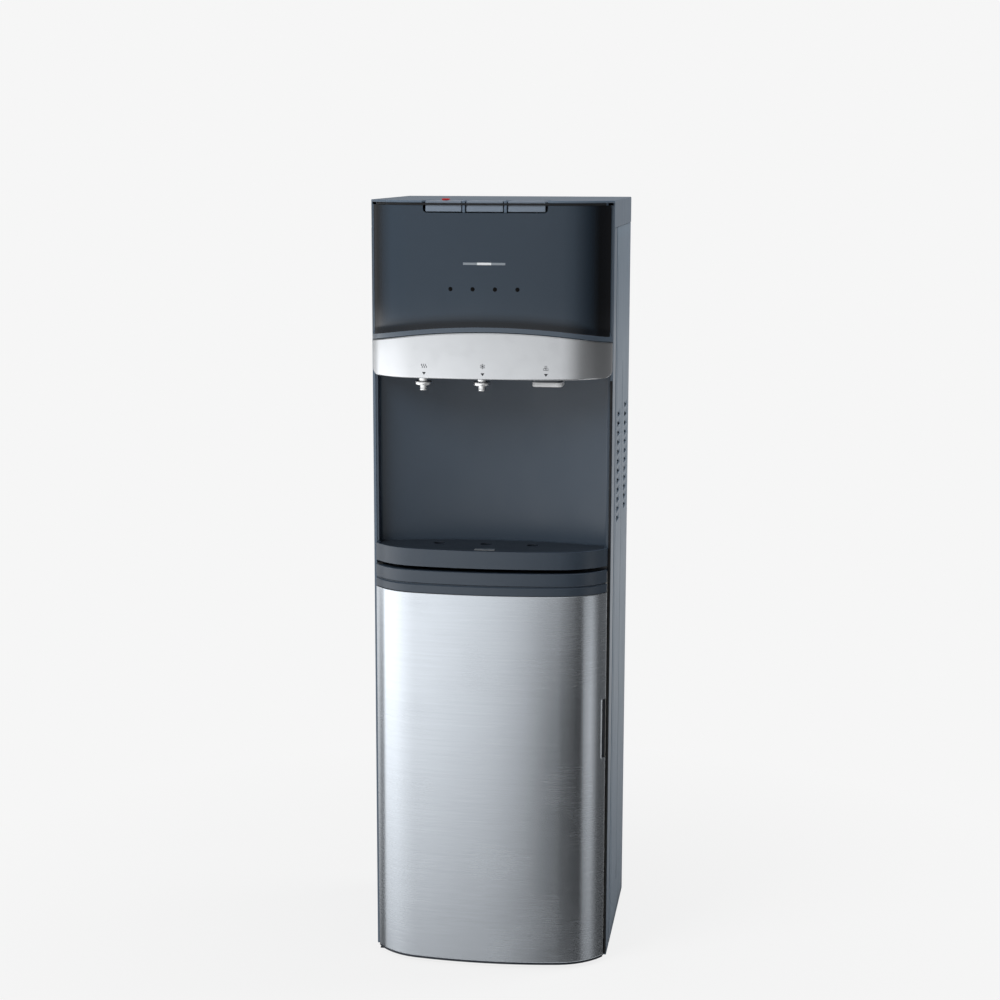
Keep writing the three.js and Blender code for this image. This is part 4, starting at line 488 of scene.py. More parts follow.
class Graph:
    """The node tree of one material or of the world."""

    def __init__(self, owner: bpy.types.Material | bpy.types.World) -> None:
        """Empties the node tree of its owner and takes charge of it.

        Args:
            owner: Material or world that has the tree.
        """
        owner.use_nodes = True
        self.tree = owner.node_tree
        self.tree.nodes.clear()

    def node(self, kind: str, inputs: dict[str | int, Any] | None = None, output: str | int = 0,
             stops: Sequence[tuple[float, Colour]] = (), **settings: Any) -> Value:
        """Adds any node.

        Args:
            kind: Type of the node, without the prefix that all of them share.
            inputs: Values or links of its sockets, by name or number.
            output: Socket that is handed back, by name or number.
            stops: Positions and colours of a ramp.
            settings: Its other settings, set before the sockets.

        Returns:
            The chosen output.
        """
        made = self.tree.nodes.new(f"ShaderNode{kind}")
        for name, setting in settings.items():
            setattr(made, name, setting)
        if stops:
            elements = made.color_ramp.elements
            while len(elements) < len(stops):
                elements.new(0.5)
            for element, (position, colour) in zip(elements, stops):
                element.position = position
                element.color = (*colour, 1)
        for name, value in (inputs or {}).items():
            socket = made.inputs[name]
            if isinstance(value, Value):
                self.tree.links.new(value.socket, socket)
            elif socket.type == "RGBA" and len(value) == 3:
                socket.default_value = (*value, 1)
            else:
                socket.default_value = value
        return Value(self, made.outputs[output] if made.outputs else None)

    def place(self, stretch: Point) -> Value:
        """Object coordinates, scaled along each axis by a Mapping node."""
        where = self.node("TexCoord", output="Object")
        return self.node("Mapping", {"Vector": where, "Scale": stretch})

    def axis(self, name: str) -> Value:
        """One object coordinate in metres: X, Y or Z."""
        return self.node("SeparateXYZ", {0: self.node("TexCoord", output="Object")}, name)

    def noise(self, scale: float, detail: float, stretch: Point = (1, 1, 1), roughness: float = 0.5) -> Value:
        """Smooth noise in 0 to 1 over object coordinates.

        Args:
            scale: Features in each metre.
            detail: Number of finer layers.
            stretch: Scale along each axis.
            roughness: Weight of the finer layers.

        Returns:
            The noise.
        """
        return self.node("TexNoise", {"Vector": self.place(stretch), "Scale": scale, "Detail": detail,
                                      "Roughness": roughness})

    def cells(self, scale: float) -> Value:
        """Distance to the nearest point of a scattered set, over object coordinates."""
        return self.node("TexVoronoi", {"Vector": self.place((1, 1, 1)), "Scale": scale}, "Distance")

    def blend(self, factor: Value | float, first: Value | Colour, second: Value | Colour) -> Value:
        """Mixes two colours: the first where the factor is 0, the second where it is 1."""
        return self.node("Mix", {0: factor, 6: first, 7: second}, 2, data_type="RGBA")

    def bump(self, height: Value, depth: float) -> Value:
        """Normal bent by a height in 0 to 1, of which 1 stands for a depth in millimetres."""
        return self.node("Bump", {"Height": height, "Distance": depth * MM, "Strength": 1.0})

    def surface(self, colour: Value, rough: Value | float, normal: Value,
                more: dict[str, float] | None = None) -> None:
        """Adds the surface shader and shows it.

        Args:
            colour: Base colour.
            rough: Roughness.
            normal: Normal.
            more: Constants of its other sockets.
        """
        inputs = {"Base Color": colour, "Roughness": rough, "Normal": normal, **(more or {})}
        self.show(self.node("BsdfPrincipled", inputs))

    def show(self, shader: Value, kind: str = "Material") -> None:
        """Links a shader to the output of the material or the world."""
        self.node(f"Output{kind}", {"Surface": shader})


# ---------------------------------------------------------------- finishes


@dataclass(frozen=True)
class Finish:
    """What every finish shares: a name, a colour and a roughness."""

    name: str
    colour: Colour
    roughness: float

    def shades(self, factor: float) -> Colour:
        """The colour made lighter or darker by a factor."""
        return tuple(min(1.0, c * factor) for c in self.colour)

    def varied(self, graph: Graph, mask: Value, first: float, second: float) -> Value:
        """The colour times one factor where a mask is 0, and times another where it is 1."""
        return graph.blend(mask, self.shades(first), self.shades(second))

    def dress(self, graph: Graph) -> None:
        """Builds the shader in a material's node tree."""
        raise NotImplementedError

    def material(self) -> bpy.types.Material:
        """Makes the material once, for every piece that has this finish.

        Returns:
            The material.
        """
        name = f"{self.name}_finish"
        if name not in bpy.data.materials:
            made = bpy.data.materials.new(name)
            made.diffuse_color = (*self.colour, 1)
            self.dress(Graph(made))
        return bpy.data.materials[name]


@dataclass(frozen=True)
class Moulding(Finish):
    """Moulded plastic with a fine spark-eroded grain, slow colour drift and faint handling marks."""

    grain: float = 0.03
    pitch: float = 1400.0
    drift: float = 0.05
    coat: float = 0.0

    def tint(self, graph: Graph, marks: Value) -> Value:
        """Colour that drifts over some centimetres and is paler at the handling marks."""
        colour = self.varied(graph, graph.noise(9, 2), 1 - self.drift, 1 + self.drift)
        return graph.blend(marks.above(0.66, 0.2) * 0.12, colour, self.shades(1.5))

    def dress(self, graph: Graph) -> None:
        """Handling marks change the gloss, and the fine grain bends the normal."""
        marks = graph.noise(55, 4, (1, 1, 0.35))
        graph.surface(self.tint(graph, marks), marks * 0.12 + (self.roughness - 0.06),
                      graph.bump(graph.noise(self.pitch, 2), self.grain),
                      {"Coat Weight": self.coat, "Coat Roughness": 0.12})


@dataclass(frozen=True)
class Banded(Moulding):
    """Moulded plastic of one colour within a band across an axis, in metres, and of another beyond it."""

    axis: str = "Z"
    middle: float = 0.0
    half: float = 0.01
    beyond: Colour = (0.1, 0.1, 0.1)

    def tint(self, graph: Graph, marks: Value) -> Value:
        """The band is a soft mask of the distance from its middle, darker at the handling marks.

        Args:
            graph: The material's node tree.
            marks: Mask of the handling marks.

        Returns:
            The colour.
        """
        mask = (graph.axis(self.axis) - self.middle).math("ABSOLUTE").above(self.half, 0.0006)
        colour = graph.blend(mask, self.colour, self.beyond)
        return graph.blend(marks.above(0.66, 0.2) * 0.1, colour, self.shades(0.8))


@dataclass(frozen=True)
class Gloss(Finish):
    """Glossy moulded plastic: smooth, with a very long soft waviness, hairline marks and some dust."""

    wave: float = 0.25
    shine: float = 0.5

    def hairlines(self, graph: Graph) -> Value:
        """Roughness of fine upright hairlines."""
        return graph.noise(700, 2, (1, 1, 0.04)) * 0.05

    def dress(self, graph: Graph) -> None:
        """Long waves bend the reflection, hairlines and dust roughen it.

        Args:
            graph: The material's node tree.
        """
        dust = graph.noise(2600, 2).above(0.74, 0.05) * graph.noise(35, 2)
        colour = self.varied(graph, graph.noise(6, 1), 0.96, 1.04)
        colour = graph.blend(dust * 0.12, colour, srgb(170, 176, 182))
        graph.surface(colour, self.hairlines(graph) + dust * 0.25 + (self.roughness - 0.02),
                      graph.bump(graph.noise(14, 1), self.wave), {"Specular IOR Level": self.shine})


@dataclass(frozen=True)
class PaintedShadeGloss(Gloss):
    """Glossy panel with painted light in its colour: a share at each corner runs from a pale painted
    highlight over the colour to a black painted shade.
    """

    pale: Colour = (0.1, 0.12, 0.14)
    shade_black: Colour = (0.003, 0.004, 0.006)

    def dress(self, graph: Graph) -> None:
        """The ramp of painted highlight and painted shade takes the place of the plain colour, under the same
        waves and hairlines.

        Args:
            graph: The material's node tree.
        """
        painted_shade = graph.node("Attribute", output="Fac", attribute_name="painted_shade")
        drift = (graph.noise(6, 1) - 0.5) * 0.05
        colour = graph.node("ValToRGB", {0: painted_shade + drift},
                            stops=((0.0, self.pale), (0.3, self.colour), (1.0, self.shade_black)))
        graph.surface(colour, self.hairlines(graph) + (self.roughness - 0.02),
                      graph.bump(graph.noise(14, 1), self.wave))


@dataclass(frozen=True)
class Paint(Finish):
    """Baked paint on sheet steel: orange peel, slow drift, finger marks and dust."""

    peel: float = 0.03

    def dress(self, graph: Graph) -> None:
        """Orange peel of about a millimetre bends the normal, finger marks change the gloss.

        Args:
            graph: The material's node tree.
        """
        marks = graph.noise(26, 4, (1, 1, 0.5))
        dust = graph.noise(1700, 3).above(0.7, 0.08)
        colour = self.varied(graph, graph.noise(5, 2), 0.96, 1.04)
        graph.surface(graph.blend(dust * 0.1, colour, self.shades(1.7)),
                      marks * 0.16 + (self.roughness - 0.08), graph.bump(graph.noise(620, 1), self.peel))


@dataclass(frozen=True)
class Brushed(Finish):
    """Brushed stainless steel, with its grain lying along X."""

    grain: float = 0.005
    stretch: Point = (0.012, 0.012, 1)
    anisotropy: float = 0.75

    def dress(self, graph: Graph) -> None:
        """Long fine lines at two sizes change the shade, the gloss and the normal; smudges soften them.

        Args:
            graph: The material's node tree.
        """
        fine = graph.noise(2400, 3, self.stretch, 0.65)
        line = fine * 0.6 + graph.noise(420, 2, self.stretch) * 0.4
        smudge = graph.noise(11, 4).above(0.6, 0.3)
        scratch = graph.noise(900, 1, (0.02, 0.02, 1)).above(0.72, 0.03)
        colour = graph.blend(scratch * 0.25, self.varied(graph, line, 0.86, 1.1), self.shades(1.3))
        graph.surface(colour, fine * 0.1 + smudge * 0.03 + (self.roughness - 0.05),
                      graph.bump(line, self.grain),
                      {"Metallic": 1.0, "Anisotropic": self.anisotropy, "Anisotropic Rotation": 0.25})


@dataclass(frozen=True)
class Plated(Finish):
    """Bare or plated metal: smooth, with faint waves, fine specks and handling marks."""

    speck: float = 0.0
    wave: float = 0.05
    spangle: float = 0.0

    def dress(self, graph: Graph) -> None:
        """Specks or crystal patches change the shade, marks the gloss, and long waves bend the normal.

        Args:
            graph: The material's node tree.
        """
        marks = graph.noise(40, 4)
        shade = graph.noise(3800, 1) * self.speck + graph.cells(95) * self.spangle
        colour = graph.blend(shade, self.colour, self.shades(0.55))
        graph.surface(graph.blend(marks.above(0.64, 0.2) * 0.12, colour, self.shades(0.7)),
                      marks * 0.1 + (self.roughness - 0.05), graph.bump(graph.noise(60, 1), self.wave),
                      {"Metallic": 1.0})


@dataclass(frozen=True)
class Rubber(Finish):
    """Matt rubber with a powdery bloom and a coarse skin."""

    def dress(self, graph: Graph) -> None:
        """Bloom lightens patches and a pebbled skin bends the normal."""
        bloom = graph.noise(70, 4)
        graph.surface(graph.blend(bloom.above(0.55, 0.3) * 0.4, self.colour, self.shades(2.6)),
                      bloom * 0.15 + (self.roughness - 0.08), graph.bump(graph.cells(1100), 0.06))


@dataclass(frozen=True)
class Foam(Finish):
    """Pressed insulating foam: pale beads with dark seams between them."""

    def dress(self, graph: Graph) -> None:
        """Beads of some millimetres show as cells, with dust over them.

        Args:
            graph: The material's node tree.
        """
        bead = graph.cells(260)
        colour = self.varied(graph, bead, 1.05, 0.78)
        graph.surface(graph.blend(graph.noise(30, 3) * 0.2, colour, self.shades(0.85)), self.roughness,
                      graph.bump(bead, 0.5))


@dataclass(frozen=True)
class Clear(Finish):
    """Clear soft plastic with a slight tint."""

    transmission: float = 0.85

    def dress(self, graph: Graph) -> None:
        """Flow lines change its tint and gloss, and faint waves bend the normal."""
        flow = graph.noise(120, 3, (1, 1, 0.3))
        graph.surface(self.varied(graph, flow, 0.92, 1.05), flow * 0.08 + (self.roughness - 0.03),
                      graph.bump(graph.noise(200, 1), 0.04),
                      {"Transmission Weight": self.transmission, "IOR": 1.48})


@dataclass(frozen=True)
class Board(Finish):
    """Circuit board: green lacquer over copper tracks, with dots of solder."""

    pitch: float = 330.0

    def dress(self, graph: Graph) -> None:
        """Stripes of track follow the object's X and Z, and the dots are cells.

        Args:
            graph: The material's node tree.
        """
        x, z = ((graph.axis(name) * self.pitch).math("FRACT") for name in ("X", "Z"))
        track = x.above(0.62, 0.06) * z.above(0.3, 0.06)
        solder = graph.cells(240).above(0.32, 0.05)
        colour = graph.blend(track * 0.6, self.colour, self.shades(2.0))
        graph.surface(graph.blend((1 - solder) * 0.7, colour, srgb(168, 172, 170)),
                      track * 0.1 + self.roughness, graph.bump(track, 0.05))


class Coat(Enum):
    """The finishes of this cooler, by the record's material slot or by the piece that needs its own."""

    # The fascia's colour holds painted light: pale is a painted highlight on its rim and ledge, black a
    # painted shade along its cove and ends.
    SLATE_GLOSS = PaintedShadeGloss("slate_gloss", srgb(47, 61, 75), 0.09, pale=srgb(94, 107, 121),
                         shade_black=srgb(7, 10, 15))
    SLATE_PANEL = Paint("slate_panel", srgb(108, 123, 138), 0.42)
    SLATE_MOULDING = Moulding("slate_moulding", srgb(90, 106, 123), 0.4, coat=0.15)
    KEY = Moulding("key_moulding", srgb(118, 131, 146), 0.36, coat=0.2)
    DARK_MOULDING = Moulding("dark_moulding", srgb(34, 41, 50), 0.34)
    TRAY = Moulding("tray_moulding", srgb(50, 62, 75), 0.32, grain=0.02)
    NICHE = Paint("niche_lining", srgb(55, 68, 82), 0.34, peel=0.015)
    BRUSHED = Brushed("brushed_skin", (0.57, 0.612, 0.662), 0.25, anisotropy=0.85)
    SILVER = Plated("silver_trim", (0.62, 0.64, 0.665), 0.24, speck=0.3, wave=0.02)
    WHITE_MOULDING = Moulding("white_moulding", srgb(226, 227, 222), 0.38, drift=0.02)
    GREY_MOULDING = Moulding("grey_moulding", srgb(128, 136, 143), 0.42)
    RUBBER = Rubber("black_rubber", srgb(24, 25, 27), 0.8)
    BLACK_STEEL = Paint("black_steel", srgb(26, 28, 30), 0.42)
    ZINC = Plated("zinc_steel", (0.44, 0.46, 0.48), 0.38, spangle=0.5)
    STAINLESS = Brushed("stainless", (0.55, 0.56, 0.57), 0.3)
    COPPER = Plated("copper_tube", (0.72, 0.34, 0.17), 0.3, speck=0.2)
    FOAM = Foam("pressed_foam", srgb(214, 206, 184), 0.85)
    COLD_BLOCK = Plated("cold_block", (0.62, 0.64, 0.66), 0.34, spangle=0.25)
    RED_PLASTIC = Moulding("red_plastic", srgb(190, 28, 30), 0.3, drift=0.03)
    CLEAR = Clear("clear_plastic", (0.85, 0.89, 0.91), 0.1)
    BOARD = Board("circuit_board", srgb(24, 84, 52), 0.35)
    SATIN = Plated("satin_outlet", (0.93, 0.94, 0.95), 0.34, wave=0.02)
    # The ice chute is white round its mouth; above that, up under the band, its darker colour is a painted
    # shade.
    CHUTE = Banded("chute_moulding", srgb(244, 246, 248), 0.3, axis="Z", middle=0.766, half=0.0087,
                   beyond=srgb(58, 66, 75))
    WINDOW = Banded("status_window", srgb(236, 240, 244), 0.2, axis="X", middle=-0.0028, half=0.0088,
                    beyond=srgb(138, 147, 156))
    LENS = Gloss("dark_lens", srgb(6, 7, 8), 0.3, wave=0.02, shine=0.08)
    MARKING = Moulding("printed_marking", srgb(30, 34, 40), 0.5, grain=0.005)


# ---------------------------------------------------------------- handing pieces over

BODY_OF: dict[str, str] = {name: thing["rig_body"] for name, thing in frame["nodes"].items()}


def solid_box(node: str) -> tuple[np.ndarray, np.ndarray]:
    """Lowest and highest corner of a frame node in millimetres."""
    return tuple(np.array(corner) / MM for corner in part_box(node))


@dataclass
class Maker:
    """Base of the sub-assemblies: dresses pieces and hands them to the frame."""

    def hand_over(self, piece: Object, coat: Coat, *nodes: str, body: str = "", slot: str = "",
                  rides: bool = True) -> Object:
        """Gives a piece its finish, its body and the nodes that it stands for.

        Args:
            piece: The piece.
            coat: Its finish.
            nodes: Frame nodes that it replaces.
            body: Body that it rides on; the first node's body if it isn't given.
            slot: Not used.
            rides: Whether it rides on one body.

        Returns:
            The same piece.
        """
        piece.data.materials.clear()
        piece.data.materials.append(coat.value.material())
        if rides:
            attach(piece, body or BODY_OF[nodes[0]])
        if nodes:
            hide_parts(*nodes)
        LOG.info("%s: %d faces, %s", piece.name, len(piece.data.polygons), coat.value.name)
        return piece

    def closed(self, rings: np.ndarray, name: str, sharp: float, coat: Coat, *nodes: str,
               **fate: Any) -> Object:
        """Makes a piece of rings of corners, closed at its first and last ring, and hands it over.

        Args:
            rings: Corners as an array of rings by points by 3.
            name: Name of the piece.
            sharp: Edges that turn by more than this many degrees stay sharp.
            coat: Its finish.
            nodes: Frame nodes that it replaces.
            fate: Its body, its slot and whether it rides, as hand_over takes them.

        Returns:
            The piece.
        """
        piece = Shape().grid(rings, wrap_v=True, caps=True).make(name, sharp)
        return self.hand_over(piece, coat, *nodes, **fate)

    def soften(self, coat: Coat, width: float, *nodes: str, sharp: float = 28.0, whole: bool = True) -> None:
        """Replaces nodes by copies of themselves with broken edges.

        Args:
            coat: Their finish.
            width: Width of the broken edges in millimetres.
            nodes: The nodes.
            sharp: Edges that turn by more than this many degrees are broken.
            whole: Whether their triangles are merged into whole faces.
        """
        for node in nodes:
            self.hand_over(softened(node, width, sharp, whole), coat, node)


# ---------------------------------------------------------------- the front of the upper part


@dataclass(frozen=True)
class DepthField:
    """Depth of a plate's face: rounded edges, a raised rim at both ends and a ledge with a cove over it."""

    edge: float
    rim: float
    rim_run: float
    ledge: float
    cove: float
    recess: float

    def of(self, places: Stations, z: np.ndarray, low: np.ndarray, high: np.ndarray) -> np.ndarray:
        """Depth at each column and row: the lesser of the cove's and the rim's slope, plus the rounding.

        Args:
            places: Columns.
            z: Heights of the rows at each column.
            low: Lower edge at each column.
            high: Upper edge at each column.

        Returns:
            The depths.
        """
        from_low = z - low[:, None]
        from_end = places.to_end[:, None] + 0 * z
        face = np.minimum(sloped(from_low, self.ledge, self.cove, self.recess),
                          sloped(from_end, self.rim, self.rim_run, self.recess))
        nearest = np.minimum(np.minimum(from_low, high[:, None] - z), from_end)
        return face + rounding(np.clip(nearest, 0, None), self.edge)


@dataclass
class Head(Maker):
    """Fascia, silver band, lamps and signs above the niche."""

    reach: float = 154.8
    band_low: float = 778.5
    band_corner: float = 9.0
    arch_end: float = 823.1
    arch_rise: float = 14.3
    seam: float = 0.3
    top: float = 994.0
    wall: float = 2.5
    play: float = 0.3
    rim: float = 2.6
    ledge: float = 6.2
    cove: float = 9.0
    recess: float = 1.8
    key_middle: float = -2.3
    key_half: float = 78.5
    key_low: float = 984.8
    key_corner: float = 5.0
    # Painted shade on the fascia: its share rises towards the right end, the left end and up from the cove.
    painted_shade_reach: float = 150.9
    painted_shade_right: tuple[Point, Point] = ((108, 126, 138), (0.0, 0.4, 1.0))
    painted_shade_left: tuple[Point, Point] = ((-144, -134, -124), (0.95, 0.35, 0.0))
    painted_shade_cove: tuple[Point, Point] = ((12, 17, 24), (0.85, 0.45, 0.0))
    shade_strip_reach: float = 146.5
    lamp_xs: tuple[float, ...] = (-45.2, -17.2, 10.8, 38.8)
    lamp_level: float = 891.0
    lamp_radius: float = 2.75
    lamp_proud: float = 0.35
    strip_proud: float = 0.3
    strip: tuple[float, float, float, float] = (-29.3, 23.7, 920.9, 924.1)
    sign_xs: Point = (-79.7, -4.4, 75.0)
    sign_lift: tuple[float, float] = (0.03, 0.3)
    wave_low: float = 791.8
    wave_rise: float = 5.2
    flake_level: float = 795.2
    flake_arm: float = 3.1
    cube_level: float = 793.6
    cube_half: float = 1.15
    arrow_top: float = 786.5
    arrow_half: float = 2.3

    def arch(self, x: np.ndarray) -> np.ndarray:
        """Height of the joint between band and fascia: a circle through both ends and the crown."""
        radius = (BOW.half ** 2 + self.arch_rise ** 2) / (2 * self.arch_rise)
        return self.arch_end + self.arch_rise - radius + np.sqrt(radius ** 2 - x ** 2)

    def panel(self, places: Stations, low: np.ndarray, high: np.ndarray, offsets: Sequence[float],
              depth: DepthField) -> np.ndarray:
        """Closed curved plate between two edge lines: rows near an edge follow it, the rest spread evenly.

        Args:
            places: Columns along the bow.
            low: Height of the lower edge at each column.
            high: Height of the upper edge at each column.
            offsets: Distances of the close rows from either edge, the largest last.
            depth: Depth of the face below the bow.

        Returns:
            One ring of corners for each column.
        """
        close, last = np.array(offsets), offsets[-1]
        even = np.linspace(0, 1, 40)[None, 1:-1]
        middle = (low[:, None] + last) + (high - low - 2 * last)[:, None] * even
        z = np.hstack([low[:, None] + close, middle, high[:, None] - close[::-1]])
        rings = []
        for inset in (depth.of(places, z, low, high), self.wall):
            x, y = BOW.at(places, inset)
            rings.append(np.stack([x + 0 * z, np.minimum(y, BOW.front_plane - self.play) + 0 * z, z], -1))
        return np.concatenate([rings[0], rings[1][:, ::-1]], 1)

    def fascia(self) -> None:
        """Glossy plate with a raised rim, a concave cove over its lower ledge and the notch for the keys."""
        sides = (self.key_middle - self.key_half, self.key_middle + self.key_half)
        steps = np.array([-0.06, 0.0, 0.1, 0.3, 0.7, 1.3, 2.2, 3.2, 4.2, 5.0])
        ends = (0, 0.15, 0.4, 0.8, 2.4, 2.6, 2.8, 3.2, 3.8, 4.6, 5.4, 6.2, 7)
        places = BOW.stations(self.reach, 81, ends, [*(sides[0] + steps), *(sides[1] - steps)])
        x = BOW.at(places, 0.0)[0][:, 0]
        inward = np.minimum(x - sides[0], sides[1] - x)
        corner = self.key_low + rounding(np.clip(inward, 0, None), self.key_corner)
        high = np.where(inward > -0.03, corner, self.top)
        offsets = (0, 0.15, 0.4, 0.8, 1.5, 4, 6.1, 6.2, 6.32, 6.5, 6.9, 7.5, 8.4, 9.6, 11.2, 13.2, 15.2, 17.5,
                   20, 23)
        depth = DepthField(edge=0.8, rim=self.rim, rim_run=3.2, ledge=self.ledge, cove=self.cove,
                           recess=self.recess)
        rings = self.panel(places, self.arch(x) + self.seam, high, offsets, depth)
        self.painted_shade(self.closed(rings, "fascia_plate", 40, Coat.SLATE_GLOSS, "front_fascia"))

    def painted_shade(self, piece: Object) -> None:
        """Gives each corner of the fascia its share of painted shade along the cove and towards both ends,
        and a painted highlight on the rim and ledge.

        Args:
            piece: The fascia.
        """
        corners = np.zeros(len(piece.data.vertices) * 3)
        piece.data.vertices.foreach_get("co", corners)
        x, _, z = corners.reshape(-1, 3).T / MM
        rise = z - self.arch(x) - self.seam
        # The rim and ledge keep a low share, a painted highlight; the face takes painted shade by the largest
        # share.
        within = (rise > self.ledge - 0.05) & (np.abs(x) < self.painted_shade_reach)
        shares = [np.interp(x, *self.painted_shade_right), np.interp(x, *self.painted_shade_left),
                  np.interp(rise, *self.painted_shade_cove)]
        store = piece.data.attributes.new("painted_shade", "FLOAT", "POINT")
        store.data.foreach_set("value", np.where(within, 0.3 + 0.7 * np.max(shares, 0), 0.12))

    def crown_shade_strip(self) -> None:
        """Black strip set back in the joint between the fascia and the cover, with rounded long edges: a
        painted shade where the joint's shadow falls.
        """
        places = BOW.stations(self.shade_strip_reach, 61)
        inset, lift = np.array([[1.6, 0.2], [3.2, 0.2], [3.2, 2.8], [1.6, 2.8], [1.2, 2.2], [1.2, 0.8]]).T
        x, y = BOW.at(places, inset * np.ones((len(places.angle), 1)))
        rings = np.stack([x, y, self.top + lift + 0 * x], -1)
        self.closed(rings, "crown_shade_strip", 50, Coat.RUBBER, body="cabinet", slot="black_rubber")

    def band(self) -> None:
        """Silver band with an arched top edge, rounded lower corners and rounded edges."""
        places = BOW.stations(self.reach, 81, (0, 0.15, 0.4, 0.8, 1.4, 2.2, 3.4, 5, 7, 9, 11, 13, 16, 19))
        x = BOW.at(places, 0.0)[0][:, 0]
        low = self.band_low + rounding(self.reach - np.abs(x), self.band_corner)
        depth = DepthField(edge=1.5, rim=0, rim_run=1, ledge=0, cove=1, recess=0.1)
        rings = self.panel(places, low, self.arch(x), (0, 0.12, 0.3, 0.6, 1.0, 1.5, 2.2), depth)
        self.closed(rings, "band_plate", 40, Coat.SILVER, "silver_band")

    def lamps(self) -> None:
        """Four round dark lenses and one long pale status window, a hair proud of the fascia."""
        shape = Shape()
        share, back = np.array([[0.0, 0.0], [0.55, 0.0], [0.85, 0.12], [1.0, 0.34], [1.0, 2.2]]).T[..., None]
        angle = circle(28)
        for middle in self.lamp_xs:
            x = middle + self.lamp_radius * share * np.cos(angle)
            z = self.lamp_level + self.lamp_radius * share * np.sin(angle)
            y = BOW.y(middle, self.recess - self.lamp_proud) + back + 0 * x
            shape.grid(np.stack([x, y, z], -1), wrap_v=True, caps=True)
        self.hand_over(shape.make("lamp_lenses", 50), Coat.LENS, "light_guide")
        left, right, low, high = self.strip
        back, share = np.array([[0.9, 0.0], [0.35, 0.0], [0.0, 0.35], [0.0, 0.65], [0.35, 1.0], [0.9, 1.0]]).T
        x = np.linspace(left, right, 30)
        y = BOW.y(x)[:, None] + self.recess - self.strip_proud + back
        rings = np.stack([x[:, None] + 0 * y, y, low + (high - low) * share + 0 * y], -1)
        self.closed(rings, "status_window", 50, Coat.WINDOW, "status_strip")

    def line(self, shape: Shape, points: Sequence[Sequence[float]] | np.ndarray, width: float) -> None:
        """Adds a printed line to a shape: a flat ribbon that lies on the band, a hair proud of it.

        Args:
            shape: Shape that takes the ribbon.
            points: x and z of its middle line.
            width: Its width.
        """
        path = np.array(points, float)
        along = unit(np.gradient(path, axis=0))
        across = np.stack([-along[:, 1], along[:, 0]], -1) * width / 2
        x, z = np.moveaxis(np.stack([path - across, path + across], 1), -1, 0)[..., None]
        ring = np.stack(np.broadcast_arrays(x, BOW.y(x) + np.array(self.sign_lift), z), -1)
        shape.grid(np.concatenate([ring[:, 0], ring[:, 1, ::-1]], 1), wrap_v=True, caps=True)

    def markings(self) -> None:
        """Printed signs over the three outlets: waves for hot, a snowflake for cold, cubes for ice."""
        shape = Shape()
        hot, cold, ice = self.sign_xs
        t = np.linspace(0, 1, 13)
        for k in range(3):
            x = hot + 2.6 * (k - 1) + 0.9 * np.sin(2 * np.pi * t)
            self.line(shape, np.stack([x, self.wave_low + self.wave_rise * t], -1), 0.75)
        flake = np.array([cold, self.flake_level])
        for k in range(3):
            turn = math.pi * k / 3 + math.pi / 2
            arm = np.array([math.cos(turn), math.sin(turn)]) * self.flake_arm
            self.line(shape, flake + np.linspace(-1, 1, 5)[:, None] * arm, 0.55)
            for end in (-1, 1):
                for lean in (-0.75, 0.75):
                    branch = np.array([math.cos(turn + lean), math.sin(turn + lean)]) * 1.2 * end
                    self.line(shape, flake + arm * end * 0.62 + np.linspace(0, 1, 3)[:, None] * branch, 0.45)
        for dx, dz in ((-1.7, -1.3), (1.5, -1.5), (-0.1, 1.6)):
            square = np.array([[-1, -1], [1, -1], [1, 1], [-1, 1], [-1, -1]]) * self.cube_half
            corners = square + np.array([ice + dx, self.cube_level + dz])
            for a, b in zip(corners, corners[1:]):
                self.line(shape, a + np.linspace(-0.08, 1.08, 3)[:, None] * (b - a), 0.5)
        for middle in self.sign_xs:
            for k, half in enumerate(np.linspace(self.arrow_half, 0.1, 7)[:6]):
                z = self.arrow_top - 0.55 * k
                self.line(shape, [(middle - half, z), (middle, z), (middle + half, z)], 0.56)
        self.hand_over(shape.make("outlet_signs", 50), Coat.MARKING, body="cabinet", slot="dark_moulding")

    def build(self) -> None:
        """Makes every piece of the head."""
        self.fascia()
        self.band()
        self.crown_shade_strip()
        self.lamps()
        self.markings()
        self.soften(Coat.BOARD, 0.2, "control_board")
        self.soften(Coat.KEY, 0.7, "hot_key", "cold_key", "ice_key")
        self.soften(Coat.RED_PLASTIC, 0.5, "child_lock")
        self.soften(Coat.DARK_MOULDING, 0.4, "key_housing")


# ---------------------------------------------------------------- the cabinet


